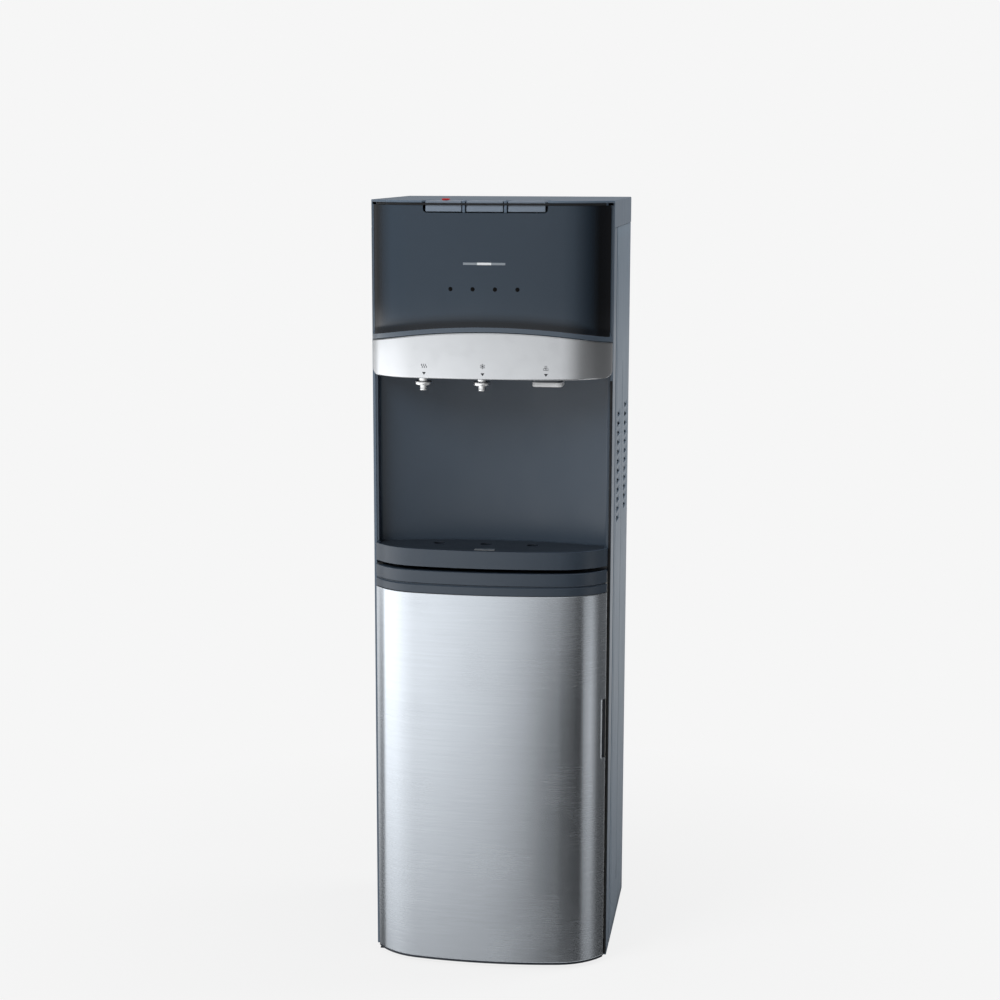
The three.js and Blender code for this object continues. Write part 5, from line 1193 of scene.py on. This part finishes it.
@dataclass
class Cabinet(Maker):
    """Side panels with pressed lines and louvres, columns, cover, base, feet and back."""

    half: float = 155.0
    front: float = -75.45
    back: float = 150.05
    low: float = 6.0
    high: float = 965.2
    corner: float = 6.0
    flange: float = 143.5
    wall: float = 1.5
    line_places: tuple[Point, ...] = ((66.0, 30.0, 928.0), (155.0, 57.0, 785.0))
    line_half: float = 1.7
    line_depth: float = 1.6
    louvre_backs: tuple[float, ...] = (102.0, 214.0)
    louvre_half: float = 22.5
    louvre_low: float = 582.7
    louvre_rows: int = 12
    louvre_pitch: float = 12.7
    louvre_height: float = 9.4
    louvre_depth: float = 3.0
    foot_x: float = 121.0
    foot_ys: tuple[tuple[str, float], ...] = (("front", -85.95), ("rear", 116.05))
    # Black strips of painted shade in the joints: name, near and far corner in plan, and top.
    shade_strip_low: float = 8.0
    shade_strip_places: tuple[tuple[str, tuple[float, float], tuple[float, float], float], ...] = (
        ("joint_shade_strip_left", (-152.2, -79.6), (-153.7, -75.8), 960.0),
        ("joint_shade_strip_right", (152.2, -79.6), (153.7, -75.8), 960.0),
        ("door_shade_strip", (151.5, -120.1), (154.7, -120.9), 774.0))

    def side_rows(self) -> tuple[np.ndarray, np.ndarray]:
        """Lengths from the front and heights at which a side panel has corners, close where it is pressed.

        Returns:
            Distances behind the front plane, and heights.
        """
        backs = [np.linspace(self.front - BOW.front_plane, self.back - BOW.front_plane - self.corner, 24)]
        heights = [np.linspace(self.low, self.high, 60)]
        for middle, low, high in self.line_places:
            backs.append(middle + self.line_half * np.array([-1.1, -1, -0.7, -0.35, 0, 0.35, 0.7, 1, 1.1]))
            end = np.array([-1.4, -0.8, 0, 1, 2])
            heights += [low + end, high - end]
        lean = np.sin(np.linspace(-np.pi / 2, np.pi / 2, 19))
        backs += [middle + (self.louvre_half + 0.2) * lean for middle in self.louvre_backs]
        share = np.array([-0.52, -0.5, -0.44, -0.36, -0.27, -0.17, -0.06, 0.05, 0.16, 0.25, 0.42, 0.5, 0.54])
        heights += [self.louvre_low + row * self.louvre_pitch + share * self.louvre_height
                    for row in range(self.louvre_rows)]
        inside = np.clip(np.concatenate(heights), self.low, self.high)
        return np.unique(np.concatenate(backs).round(3)), np.unique(inside.round(3))

    def pressing(self, back: np.ndarray, z: np.ndarray) -> tuple[np.ndarray, np.ndarray]:
        """Depth of the pressed lines and louvres, and the mask of the louvres' open slits.

        A line is a round channel, D cos(pi d / 2w), that fades at its ends. A louvre slopes in from its top
        edge to its lower lip, narrowed towards its ends, D v^0.8 (1 - u^4), and steps back out over the lip.

        Args:
            back: Distance behind the front plane.
            z: Height.

        Returns:
            Depths, and booleans for the slits.
        """
        depth = np.zeros_like(z)
        slit = np.zeros(z.shape, bool)
        for middle, low, high in self.line_places:
            across = np.clip(np.abs(back - middle) / self.line_half, 0, 1)
            end = np.clip((np.minimum(z - low, high - z) + 1.3) / 2.6, 0, 1)
            depth = np.maximum(depth, self.line_depth * np.cos(across * np.pi / 2) * end)
        for middle in self.louvre_backs:
            u = np.clip(np.abs(back - middle) / self.louvre_half, 0, 1)
            for row in range(self.louvre_rows):
                v = (self.louvre_low + row * self.louvre_pitch - z) / self.louvre_height + 0.5
                inside = (v > 0) & (v < 0.985)
                depth = np.maximum(depth, inside * self.louvre_depth * np.clip(v, 0, 1) ** 0.8 * (1 - u ** 4))
                slit |= (v < 1.0) & (u < 0.93 * np.sqrt(np.clip((v - 0.4) / 0.5, 0, 1)))
        return depth, slit

    def side_panel(self, side: int, name: str) -> None:
        """Pressed sheet that runs back from the column, round the rear corner and into its flange.

        Args:
            side: 1 for the right, -1 for the left.
            name: Node that it stands for.
        """
        backs, heights = self.side_rows()
        turn = np.linspace(0, np.pi / 2, 7)[1:]
        corner_x = self.half - self.corner + self.corner * np.cos(turn)
        corner_y = self.back - self.corner + self.corner * np.sin(turn)
        x = np.concatenate([np.full(len(backs), self.half), corner_x, [self.flange]])[:, None] + 0 * heights
        y = np.concatenate([backs + BOW.front_plane, corner_y, [self.back]])[:, None] + 0 * heights
        z = heights[None, :] + 0 * x
        depth, slit = self.pressing(y - BOW.front_plane, z)
        on_flat = (np.arange(len(x)) < len(backs))[:, None]
        grid = np.stack([side * (x - depth * on_flat), y, z], -1)
        cut = slit & on_flat
        keep = ~(cut[:-1, :-1] & cut[1:, 1:] & cut[1:, :-1] & cut[:-1, 1:])
        if side > 0:
            grid, keep = grid[:, ::-1], keep[:, ::-1]
        piece = Shape().grid(grid, keep=keep).make(f"{name}_pressed", 32)
        self.hand_over(walled(piece, self.wall, (side, 0, 0)), Coat.SLATE_PANEL, name)

    def feet(self) -> None:
        """Ribbed rubber feet with their threaded stems."""
        thread = [(4.6 if k % 2 else 4.9, 8.5 + 0.5 * k) for k in range(11)]
        profile = [(0, 0), (13.5, 0), (15.4, 0.25), (16.5, 0.8), (17, 1.7), (17, 5.2), (16.6, 5.9),
                   (15.6, 6.5), (14.2, 6.7), (5, 6.7), *thread, (4.6, 20.6), (4.2, 21), (0, 21)]
        for end, y in self.foot_ys:
            for side, name in ((-1, "left"), (1, "right")):
                grid = turned(profile, (side * self.foot_x, y, 0.0), 72, 18, 0.7)
                piece = Shape().grid(grid, wrap_v=True).make(f"foot_{end}_{name}_ribbed", 35)
                self.hand_over(piece, Coat.RUBBER, f"foot_{end}_{name}")

    def shade_strips(self) -> None:
        """Black strips in the upright joints, behind either column and on the right one beside the door:
        painted shade where the joints' shadow falls.
        """
        section = np.array([[0, 0], [0, 1], [0.6, 1], [1, 0.8], [1, 0.2], [0.6, 0]])
        for name, near, far, high in self.shade_strip_places:
            shares = section[:, ::-1] if name == "door_shade_strip" else section
            plan = np.array(near) + (np.array(far) - np.array(near)) * shares
            rings = prism(plan, 2, np.linspace(self.shade_strip_low, high, 9))
            self.closed(rings, name, 50, Coat.RUBBER, body="cabinet", slot="black_rubber")

    def build(self) -> None:
        """Makes every piece of the cabinet."""
        self.shade_strips()
        self.side_panel(-1, "left_side_panel")
        self.side_panel(1, "right_side_panel")
        self.feet()
        self.soften(Coat.SLATE_MOULDING, 0.5, "left_column", "right_column")
        self.soften(Coat.SLATE_MOULDING, 1.1, "top_cover")
        self.soften(Coat.BLACK_STEEL, 0.3, "back_panel")
        self.soften(Coat.DARK_MOULDING, 0.7, "machine_shelf")
        self.soften(Coat.DARK_MOULDING, 0.5, "base_pan", whole=False)
        self.soften(Coat.DARK_MOULDING, 0.4, "service_panel", "door_magnet")
        self.soften(Coat.RED_PLASTIC, 0.5, "heating_switch")
        self.soften(Coat.GREY_MOULDING, 0.5, "cooling_switch")
        self.soften(Coat.WHITE_MOULDING, 0.4, "bay_liner")
        self.soften(Coat.RUBBER, 0.4, "drain_plug")
        self.soften(Coat.BLACK_STEEL, 0.3, "upper_hinge", "lower_hinge")


@dataclass
class Door(Maker):
    """Bowed steel door with its plastic liner, cap and gasket."""

    half: float = 151.0
    low: float = 9.0
    high: float = 502.0
    rear: float = -124.95
    grip: tuple[float, float] = (282.0, 361.0)
    notch: float = 3.5
    skin: float = 1.0
    hem: float = 0.7
    hem_inset: float = 0.35
    cup_left: float = 146.4
    cup_width: float = 4.3
    cup_front: float = 2.3
    cup_depth: float = 1.2
    cup_past: float = 3.0

    def steel(self) -> None:
        """Bowed sheet with a rolled edge at both sides and the notch for the fingers in its right edge."""
        places = BOW.stations(self.half, 61, (0, 0.4, 1.0, 2, 3.5, 6))
        x, y = (side[:, 0] for side in BOW.at(places, 0.0))
        end_y = y[-1] + np.linspace(0, 1, 4)[1:] * (self.rear - y[-1])
        path_x = np.concatenate([np.full(3, -self.half), x, np.full(3, self.half)])
        path_y = np.concatenate([end_y[::-1], y, end_y])
        bottom, top = self.grip
        mouth = np.array([bottom, bottom + 0.01, top - 0.01, top])
        edge = np.array([0, 0.25, 0.6, 1.2])
        even = np.linspace(self.low, self.high, 50)
        rows = np.unique(np.concatenate([even, mouth, self.low + edge, self.high - edge]))
        from_edge = np.minimum(rows - self.low, self.high - rows).clip(0)
        inset = self.hem_inset * (rounding(from_edge, self.hem) / self.hem)
        grid_x = path_x[:, None] * (1 - inset / self.half)
        grid = np.stack([grid_x, path_y[:, None] + inset, rows + 0 * grid_x], -1)
        middle_z = (rows[1:] + rows[:-1]) / 2
        middle_x = (path_x[1:] + path_x[:-1]) / 2
        in_mouth = (middle_z > bottom) & (middle_z < top)
        keep = ~((middle_x > self.half - self.notch)[:, None] & in_mouth[None, :])
        piece = Shape().grid(grid, keep=keep).make("steel_skin", 40)
        self.hand_over(walled(piece, self.skin, (0, -1, 0)), Coat.BRUSHED, "door_skin")

    def grip_cup(self) -> None:
        """Dark bottom of the finger grip, just behind the notch, with rounded long edges."""
        section = np.array([[0, 0.25], [0.1, 0], [0.9, 0], [1, 0.25], [1, 1], [0, 1]])
        corner = np.array([self.cup_left, self.rear - self.cup_front])
        plan = corner + np.array([self.cup_width, self.cup_depth]) * section
        rings = prism(plan, 2, np.linspace(self.grip[0] - self.cup_past, self.grip[1] + self.cup_past, 7))
        self.closed(rings, "grip_cup", 50, Coat.DARK_MOULDING, body="door", slot="dark_moulding")

    def build(self) -> None:
        """Makes every piece of the door."""
        self.steel()
        self.grip_cup()
        self.soften(Coat.DARK_MOULDING, 0.6, "door_liner")
        self.soften(Coat.TRAY, 0.9, "door_cap")
        self.soften(Coat.RUBBER, 0.5, "door_gasket")


# ---------------------------------------------------------------- the niche


@dataclass
class Niche(Maker):
    """Niche, outlets and drip tray."""

    plate_low: float = 780.5
    outlet_y: float = -139.95
    outlets: tuple[tuple[str, float], ...] = (("hot_nozzle", -85.0), ("cold_nozzle", -10.0))
    ice_x: float = 75.0
    mouth: float = 38.0
    mouth_corner: float = 7.0
    wall: float = 1.8
    mouth_low: float = 769.2
    bend: float = 38.0
    rise: float = 77.0
    collar: float = 8.0
    lean: float = 56.0
    half: float = 148.4
    back_middle: float = 39.0
    back_sag: float = 23.0
    back_wall: float = 2.5
    fillet: float = 3.0
    play: float = 0.3
    tab_low: float = 557.0

    def nozzles(self) -> None:
        """Satin outlets: a rounded collar under the plate, a narrow spout with a rolled lip, and the bore."""
        profile = [(3.5, -19.6), (4.1, -19.6), (4.7, -19.4), (5.0, -18.8), (4.95, -18.1), (4.75, -17.4),
                   (4.75, -13.2), (5.2, -12.65), (9.4, -12.6), (10.3, -12.3), (10.7, -11.6), (10.7, -8.6),
                   (10.4, -7.9), (9.6, -7.6), (6.0, -7.6), (6.0, 9.0), (3.5, 9.0), (3.5, 0.0), (3.5, -14.0)]
        for node, x in self.outlets:
            grid = turned(profile, (x, self.outlet_y, self.plate_low), 48)
            piece = Shape().grid(grid, wrap_u=True, wrap_v=True).make(f"{node}_turned", 38)
            self.hand_over(piece, Coat.SATIN, node)

    def rounded(self, width: float, radius: float) -> np.ndarray:
        """Plan of a square with round corners, from its middle.

        Args:
            width: Its width.
            radius: Radius of the corners.

        Returns:
            Points as an array of n by 2.
        """
        turn = np.linspace(0, np.pi / 2, 7)
        quarter = np.stack([np.cos(turn), np.sin(turn)], -1) * radius
        spins = [np.array([[np.cos(a), -np.sin(a)], [np.sin(a), np.cos(a)]])
                 for a in np.arange(4) * np.pi / 2]
        middles = np.array([[1, 1], [-1, 1], [-1, -1], [1, -1]]) * (width / 2 - radius)
        return np.concatenate([quarter @ spin.T + middle for spin, middle in zip(spins, middles)])

    def chute(self) -> None:
        """Ice passage: a round-cornered tube that rises from the mouth and leans back to the bin."""
        straight = self.rise - self.collar
        levels = (6, 20, self.bend, straight, self.rise)
        outer = [(0.9, 0.0), (0.3, 0.3), (0.0, 1.0), *((0.0, level) for level in levels)]
        inner = [*((self.wall, level) for level in (*levels[::-1], 1.2)), (1.5, 0.3)]
        rings = []
        for inset, level in outer + inner:
            plan = self.rounded(self.mouth - 2 * inset, self.mouth_corner - inset)
            back = self.lean * np.clip((level - self.bend) / (straight - self.bend), 0, 1)
            plan = plan + np.array([self.ice_x, self.outlet_y + back])
            rings.append(prism(plan, 2, [self.mouth_low + level])[0])
        piece = Shape().grid(np.stack(rings), wrap_u=True, wrap_v=True).make("ice_chute_tube", 35)
        self.hand_over(piece, Coat.CHUTE, "ice_chute")

    def wall_plan(self, reach: float, behind: float) -> np.ndarray:
        """Plan of one face of the niche's wall: y = f + b + m - s (x / h)^2, with a corner at both ends.

        Args:
            reach: Half of its width.
            behind: How far behind the inner face it runs.

        Returns:
            Points from the left front to the right front, as an array of n by 2.
        """
        x = np.linspace(-(reach - self.fillet), reach - self.fillet, 61)
        back = BOW.front_plane + behind + self.back_middle
        y = back - self.back_sag * (x / self.half) ** 2
        end_y = back - self.back_sag * (reach / self.half) ** 2
        t = np.linspace(0, 1, 9)[1:, None]
        knots = np.array([[x[-1], y[-1]], [reach, end_y], [reach, end_y - self.fillet]])
        corner = (1 - t) ** 2 * knots[0] + 2 * t * (1 - t) * knots[1] + t ** 2 * knots[2]
        side = np.concatenate([corner, [[reach, BOW.front_plane + self.play]]])
        return np.concatenate([side[::-1] * np.array([-1, 1]), np.stack([x, y], -1), side])

    def liner(self) -> None:
        """Smooth bowed wall of the niche, one closed strip from column to column."""
        low, high = solid_box("niche_liner")
        levels = (low[2], high[2])
        outer = prism(self.wall_plan(high[0], self.back_wall), 2, levels)
        inner = prism(self.wall_plan(self.half, 0.0), 2, levels[::-1])
        rings = np.concatenate([outer, inner]).swapaxes(0, 1)
        self.closed(rings, "niche_liner_bowed", 40, Coat.NICHE, "niche_liner")

    def tab(self) -> None:
        """Silver tab on the grid, its rounded top a little proud so that a finger finds it."""
        section = np.array([[0, 0], [1, 0], [1, 1.9], [0.9, 2.2], [0.7, 2.35], [0.3, 2.45], [0.06, 2.45],
                            [0, 2.2]])
        low, high = solid_box("tray_bar")
        side = np.array([low[1], self.tab_low]) + np.array([high[1] - low[1], 1]) * section
        self.closed(prism(side, 0, np.linspace(low[0], high[0], 7)), "tray_tab", 35, Coat.SATIN, "tray_bar")

    def build(self) -> None:
        """Makes every piece of the niche."""
        self.nozzles()
        self.chute()
        self.liner()
        self.soften(Coat.DARK_MOULDING, 0.6, "outlet_plate")
        self.soften(Coat.TRAY, 0.6, "drip_tray")
        self.soften(Coat.DARK_MOULDING, 0.8, "drip_grid", sharp=40)
        self.tab()
        self.soften(Coat.GREY_MOULDING, 0.4, "ice_flap")
        self.soften(Coat.WHITE_MOULDING, 0.5, "hot_valve", "cold_valve")


# ---------------------------------------------------------------- the works


@dataclass
class Works(Maker):
    """Cooling, heating, ice and pump, with the condenser on the back and the probe in the bay."""

    tube_y: float = 168.85
    runs: int = 8
    low: float = 190.0
    high: float = 850.0
    half: float = 125.0
    tube_radius: float = 2.6
    wires: int = 33
    wire: float = 0.75
    wire_gap: float = 0.5
    wire_past: float = 14.0
    leg_past: float = 10.0
    leg_inset: float = 6.0
    leg_ys: tuple[float, float] = (150.35, 172.6)
    probe: Point = (-121.9, 122.05, 477.5)
    straw_low: float = 74.0
    port_rise: float = 18.0
    port_ahead: float = 27.0
    pump: Point = (-127.9, -19.95, 530.4)
    beside_liner: float = -142.1
    hose_sag: float = 110.0
    hose_radius: float = 3.9

    def condenser(self) -> None:
        """Round tube in a long serpentine, with upright wires before and behind it and four mounting legs."""
        pitch = (self.high - self.low) / (self.runs - 1)
        straight = self.half - pitch / 2
        turn = np.linspace(-np.pi / 2, np.pi / 2, 17)
        route = []
        for run in range(self.runs):
            side = 1 if run % 2 == 0 else -1
            z = self.low + run * pitch
            along = np.linspace(-side * straight, side * straight, 9)[:-1]
            route.append(np.stack([along, 0 * along, z + 0 * along], -1))
            if run < self.runs - 1:
                x = side * (straight + pitch / 2 * np.cos(turn))
                route.append(np.stack([x, 0 * x, z + pitch / 2 + pitch / 2 * np.sin(turn)], -1))
        route.append(np.array([[side * straight, 0.0, z]]))
        path = np.concatenate(route) + np.array([0, self.tube_y, 0])
        steps = np.concatenate([[True], np.linalg.norm(np.diff(path, axis=0), axis=1) > 1e-6])
        shape = Shape().grid(tube(path[steps], self.tube_radius, 12, (0, 1, 0)), wrap_v=True, caps=True)
        ring = np.stack([np.cos(circle(6)), np.sin(circle(6))], -1) * self.wire
        clear = self.tube_radius + self.wire_gap
        levels = (self.low - self.wire_past, self.high + self.wire_past)
        for x in (straight + self.leg_inset) * (2 * np.arange(self.wires) / (self.wires - 1) - 1):
            for y in (self.tube_y + clear, self.tube_y - clear):
                shape.grid(prism(ring + np.array([x, y]), 2, levels), wrap_v=True, caps=True)
        foot = np.array([[-4, -1.2], [4, -1.2], [4, 1.2], [-4, 1.2]])
        for side in (-1, 1):
            for z in (self.low - self.leg_past, self.high + self.leg_past):
                rings = prism(foot + np.array([side * (straight - self.leg_inset), z]), 1, self.leg_ys)
                shape.grid(rings, wrap_v=True, caps=True)
        self.hand_over(shape.make("condenser_wires", 40), Coat.BLACK_STEEL, "condenser")

    def bottle_probe(self) -> None:
        """Cap with a ribbed grip, its hose port, and the long straw."""
        x, y, low = self.probe
        foot = self.straw_low - low
        profile = [(0, foot), (3.4, foot), (5, foot + 2.5), (5, 0), (16.5, 0), (18.4, 0.8), (19, 3), (19, 20),
                   (18.4, 22.5), (16.6, 25.6), (14, 27.4), (12, 28), (0, 28)]
        shape = Shape().grid(turned(profile, (x, y, low), 72, 24, 0.6), wrap_v=True)
        along = np.array([0, 1, 3, 5, 8, 12.0]) + (y - self.port_ahead)
        path = np.stack([np.full(6, x), along, np.full(6, low + self.port_rise)], -1)
        barbs = np.array([3.0, 3.4, 2.9, 3.4, 3.4, 4.2])
        shape.grid(tube(path, barbs, 20, (0, 0, 1)), wrap_v=True, caps=True)
        self.hand_over(shape.make("bottle_probe_turned", 40), Coat.WHITE_MOULDING, "bottle_probe")

    def hose(self) -> None:
        """Clear hose from the pump, down beside the liner and up to the probe."""
        x, y, probe_low = self.probe
        pump_x, pump_y, start = self.pump
        wall_x, port_y, port_z = self.beside_liner, y - 27.3, probe_low + self.port_rise
        middle, sag, turn = (pump_y + port_y) / 2, port_z - self.hose_sag, (port_y - pump_y) / 4
        route = [[pump_x, pump_y, start], [pump_x, pump_y, start - 8], [pump_x, pump_y, start - 20],
                 [(pump_x + wall_x) / 2, pump_y + 4, (start + port_z) / 2],
                 [wall_x, pump_y + 4, port_z - turn],
                 [wall_x, middle - turn, sag + turn * 0.6], [wall_x, middle, sag],
                 [wall_x, middle + turn, sag + turn * 0.6], [wall_x, port_y - 24, port_z - turn],
                 [(x + wall_x) / 2, port_y - 16, port_z - 12], [x, port_y - 8, port_z], [x, port_y, port_z]]
        rings = tube(smooth_route(route, 9), self.hose_radius, 18, (1, 0.05, 0))
        piece = self.closed(rings, "probe_hose_clear", 50, Coat.CLEAR, "probe_hose", rides=False)
        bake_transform(piece)

    def build(self) -> None:
        """Makes every piece of the works."""
        self.condenser()
        self.bottle_probe()
        self.hose()
        self.soften(Coat.BLACK_STEEL, 0.8, "compressor")
        self.soften(Coat.STAINLESS, 0.5, "hot_tank", "cold_tank")
        self.soften(Coat.ZINC, 0.3, "heating_element", "ice_auger", "upper_deck", "auger_motor")
        self.soften(Coat.COPPER, 0.2, "evaporator_coil")
        self.soften(Coat.FOAM, 1.2, "tank_insulation")
        self.soften(Coat.COLD_BLOCK, 0.5, "ice_maker")
        self.soften(Coat.WHITE_MOULDING, 0.6, "ice_bin")
        self.soften(Coat.DARK_MOULDING, 0.6, "water_pump")


# ---------------------------------------------------------------- the studio


@dataclass
class Studio:
    """Floor, lamps, the cards that a metal front reflects, and the camera, in metres and degrees.

    A card is a list of azimuths in degrees, from -Y towards +X, each with its brightness. The ring has three,
    one above the other: the steel door reflects the first, the silver band the second, the fascia the third.
    """

    camera_place: Point = (0.3712, -2.7341, 1.0492)
    turn: float = 7.847
    down: float = 10.665
    roll: float = 0.13
    lens: float = 74.55
    rise: float = 0.05
    backdrop: Colour = (0.922, 0.922, 0.922)
    paper: Colour = (0.86, 0.86, 0.86)
    ambient: float = 0.2
    floor_half: float = 14.0
    shadow_reach: float = 0.55
    shadow_fade: float = 0.7
    ring_radius: float = 2.2
    ring_levels: tuple[float, float] = (-1.5, 3.2)
    cards: tuple[tuple[tuple[float, float], ...], ...] = (
        ((-180, 0.5), (-125, 0.85), (-113, 0.9), (-110, 0.3), (-97, 0.4), (-94, 2.0), (-64, 2.0), (-47, 1.7),
         (-24, 1.4), (-6, 1.05), (4, 0.62), (10, 0.2), (16, 0.0), (53, 0.0), (58, 0.6), (72, 0.95), (78, 0.6),
         (88, 0.15), (112, 0.15), (118, 0.8), (180, 0.5)),
        ((-180, 0.5), (-118, 0.8), (-104, 1.8), (-64, 1.8), (-24, 1.34), (-6, 1.06), (12, 0.94), (25, 0.7),
         (45, 0.25), (75, 0.12), (115, 0.15), (130, 0.5), (180, 0.5)),
        ((-180, 0.25), (-110, 0.25), (-60, 0.44), (-24, 0.56), (7, 0.56), (30, 0.38), (60, 0.07), (110, 0.07),
         (150, 0.25), (180, 0.25)))

    def camera(self) -> None:
        """Camera at the photograph's angle, with the small shift of its framing."""
        lens = bpy.data.cameras.new("camera")
        lens.lens = self.lens
        lens.sensor_width = 36
        lens.sensor_fit = "HORIZONTAL"
        lens.shift_y = self.rise
        lens.clip_end = 60
        view = bpy.data.objects.new("camera", lens)
        view.matrix_world = Matrix.Translation(Vector(self.camera_place))
        for degrees, axis in ((self.turn, "Z"), (90 - self.down, "X"), (self.roll, "Z")):
            view.matrix_world = view.matrix_world @ Matrix.Rotation(math.radians(degrees), 4, axis)
        bpy.context.scene.collection.objects.link(view)
        bpy.context.scene.camera = view

    def world(self) -> None:
        """White to the camera and to metal and glass, dimmer as light on the object."""
        bpy.context.scene.world = bpy.data.worlds.new("studio")
        graph = Graph(bpy.context.scene.world)
        camera, glossy, through = (graph.node("LightPath", output=f"Is {kind} Ray")
                                   for kind in ("Camera", "Glossy", "Transmission"))
        seen = camera.math("MAXIMUM", glossy).math("MAXIMUM", through)
        dim = graph.node("Background", {"Color": (1.0, 1.0, 1.0), "Strength": self.ambient})
        bright = graph.node("Background", {"Color": self.backdrop, "Strength": 1.0})
        graph.show(graph.node("MixShader", {0: seen, 1: dim, 2: bright}), "World")

    def floor(self) -> None:
        """Pale floor that keeps the object's shadow near it and turns into the backdrop further away."""
        place = np.array([[-1, -1, 0], [1, -1, 0], [1, 1, 0], [-1, 1, 0]]) * self.floor_half
        mesh = bpy.data.meshes.new("floor")
        mesh.from_pydata(place.tolist(), [], [(0, 1, 2, 3)])
        floor = bpy.data.objects.new("floor", mesh)
        bpy.context.scene.collection.objects.link(floor)
        material = bpy.data.materials.new("pale_floor")
        graph = Graph(material)
        x, y = graph.axis("X"), graph.axis("Y")
        far = (x * x + y * y).math("SQRT").above(self.shadow_reach, self.shadow_fade) * 0.1 + 0.9
        seen = graph.node("LightPath", output="Is Camera Ray")
        paper = graph.node("BsdfDiffuse", {"Color": self.paper})
        even = graph.node("Emission", {"Color": self.backdrop, "Strength": 1.0})
        graph.show(graph.node("MixShader", {0: far * seen, 1: paper, 2: even}))
        mesh.materials.append(material)
        floor.visible_glossy = False

    def lamp(self, name: str, place: Point, aim: Point, size: float, power: float) -> None:
        """Adds a square lamp that glossy surfaces don't reflect.

        Args:
            name: Its name.
            place: Where it stands, in metres.
            aim: The point that it faces.
            size: Width of its side.
            power: Its power in watts.
        """
        light = bpy.data.lights.new(name, "AREA")
        light.shape = "RECTANGLE"
        light.size = light.size_y = size
        light.energy = power
        holder = bpy.data.objects.new(name, light)
        towards = (Vector(aim) - Vector(place)).to_track_quat("-Z", "Y")
        holder.matrix_world = Matrix.Translation(Vector(place)) @ towards.to_matrix().to_4x4()
        holder.visible_glossy = False
        holder.visible_camera = False
        bpy.context.scene.collection.objects.link(holder)

    def ring(self) -> None:
        """Adds an upright ring that only glossy surfaces see, lit as the cards say."""
        angle = np.linspace(-np.pi, np.pi, 97)[:-1]
        plan = np.stack([np.sin(angle), -np.cos(angle)], -1) * self.ring_radius / MM
        rings = prism(plan, 2, np.array(self.ring_levels) / MM)
        piece = Shape().grid(rings, wrap_v=True).make("card_ring")
        material = bpy.data.materials.new("card_ring")
        graph = Graph(material)
        azimuth = graph.axis("X").math("ARCTAN2", graph.axis("Y") * -1.0) * (0.5 / math.pi) + 0.5
        door, band, fascia = (
            graph.node("ValToRGB", {0: azimuth}, stops=[((a + 180) / 360, (v / 2,) * 3) for a, v in card])
            for card in self.cards)
        height = graph.axis("Z")
        lower = graph.blend(height.above(0.2, 0.3), door, band)
        whole = graph.blend(height.above(0.68, 0.08), lower, fascia)
        fall = (height * 1.28 + 1.26).math("MINIMUM", 1.2).math("MAXIMUM", 0.08)
        graph.show(graph.node("Emission", {"Color": whole, "Strength": fall * 2.0}))
        piece.data.materials.append(material)
        for kind in ("camera", "diffuse", "shadow", "transmission"):
            setattr(piece, f"visible_{kind}", False)

    def build(self) -> None:
        """Sets up the whole studio."""
        bpy.context.scene.view_settings.view_transform = "Standard"
        self.camera()
        self.world()
        self.floor()
        self.ring()
        self.lamp("key", (-1.9, -2.4, 2.9), (0, 0, 0.6), 1.8, 92)
        self.lamp("side", (1.4, 0.6, 1.9), (0.15, 0, 1.0), 0.8, 21)
        LOG.info("studio: camera, floor, two lamps and the card ring")


def main() -> None:
    """Builds the cooler's looks in order."""
    logging.basicConfig(level=logging.INFO, format="%(name)s: %(message)s")
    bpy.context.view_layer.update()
    Studio().build()
    for maker in (Cabinet(), Door(), Head(), Niche(), Works()):
        LOG.info("building %s", type(maker).__name__)
        maker.build()


if __name__ == "__main__":
    main()
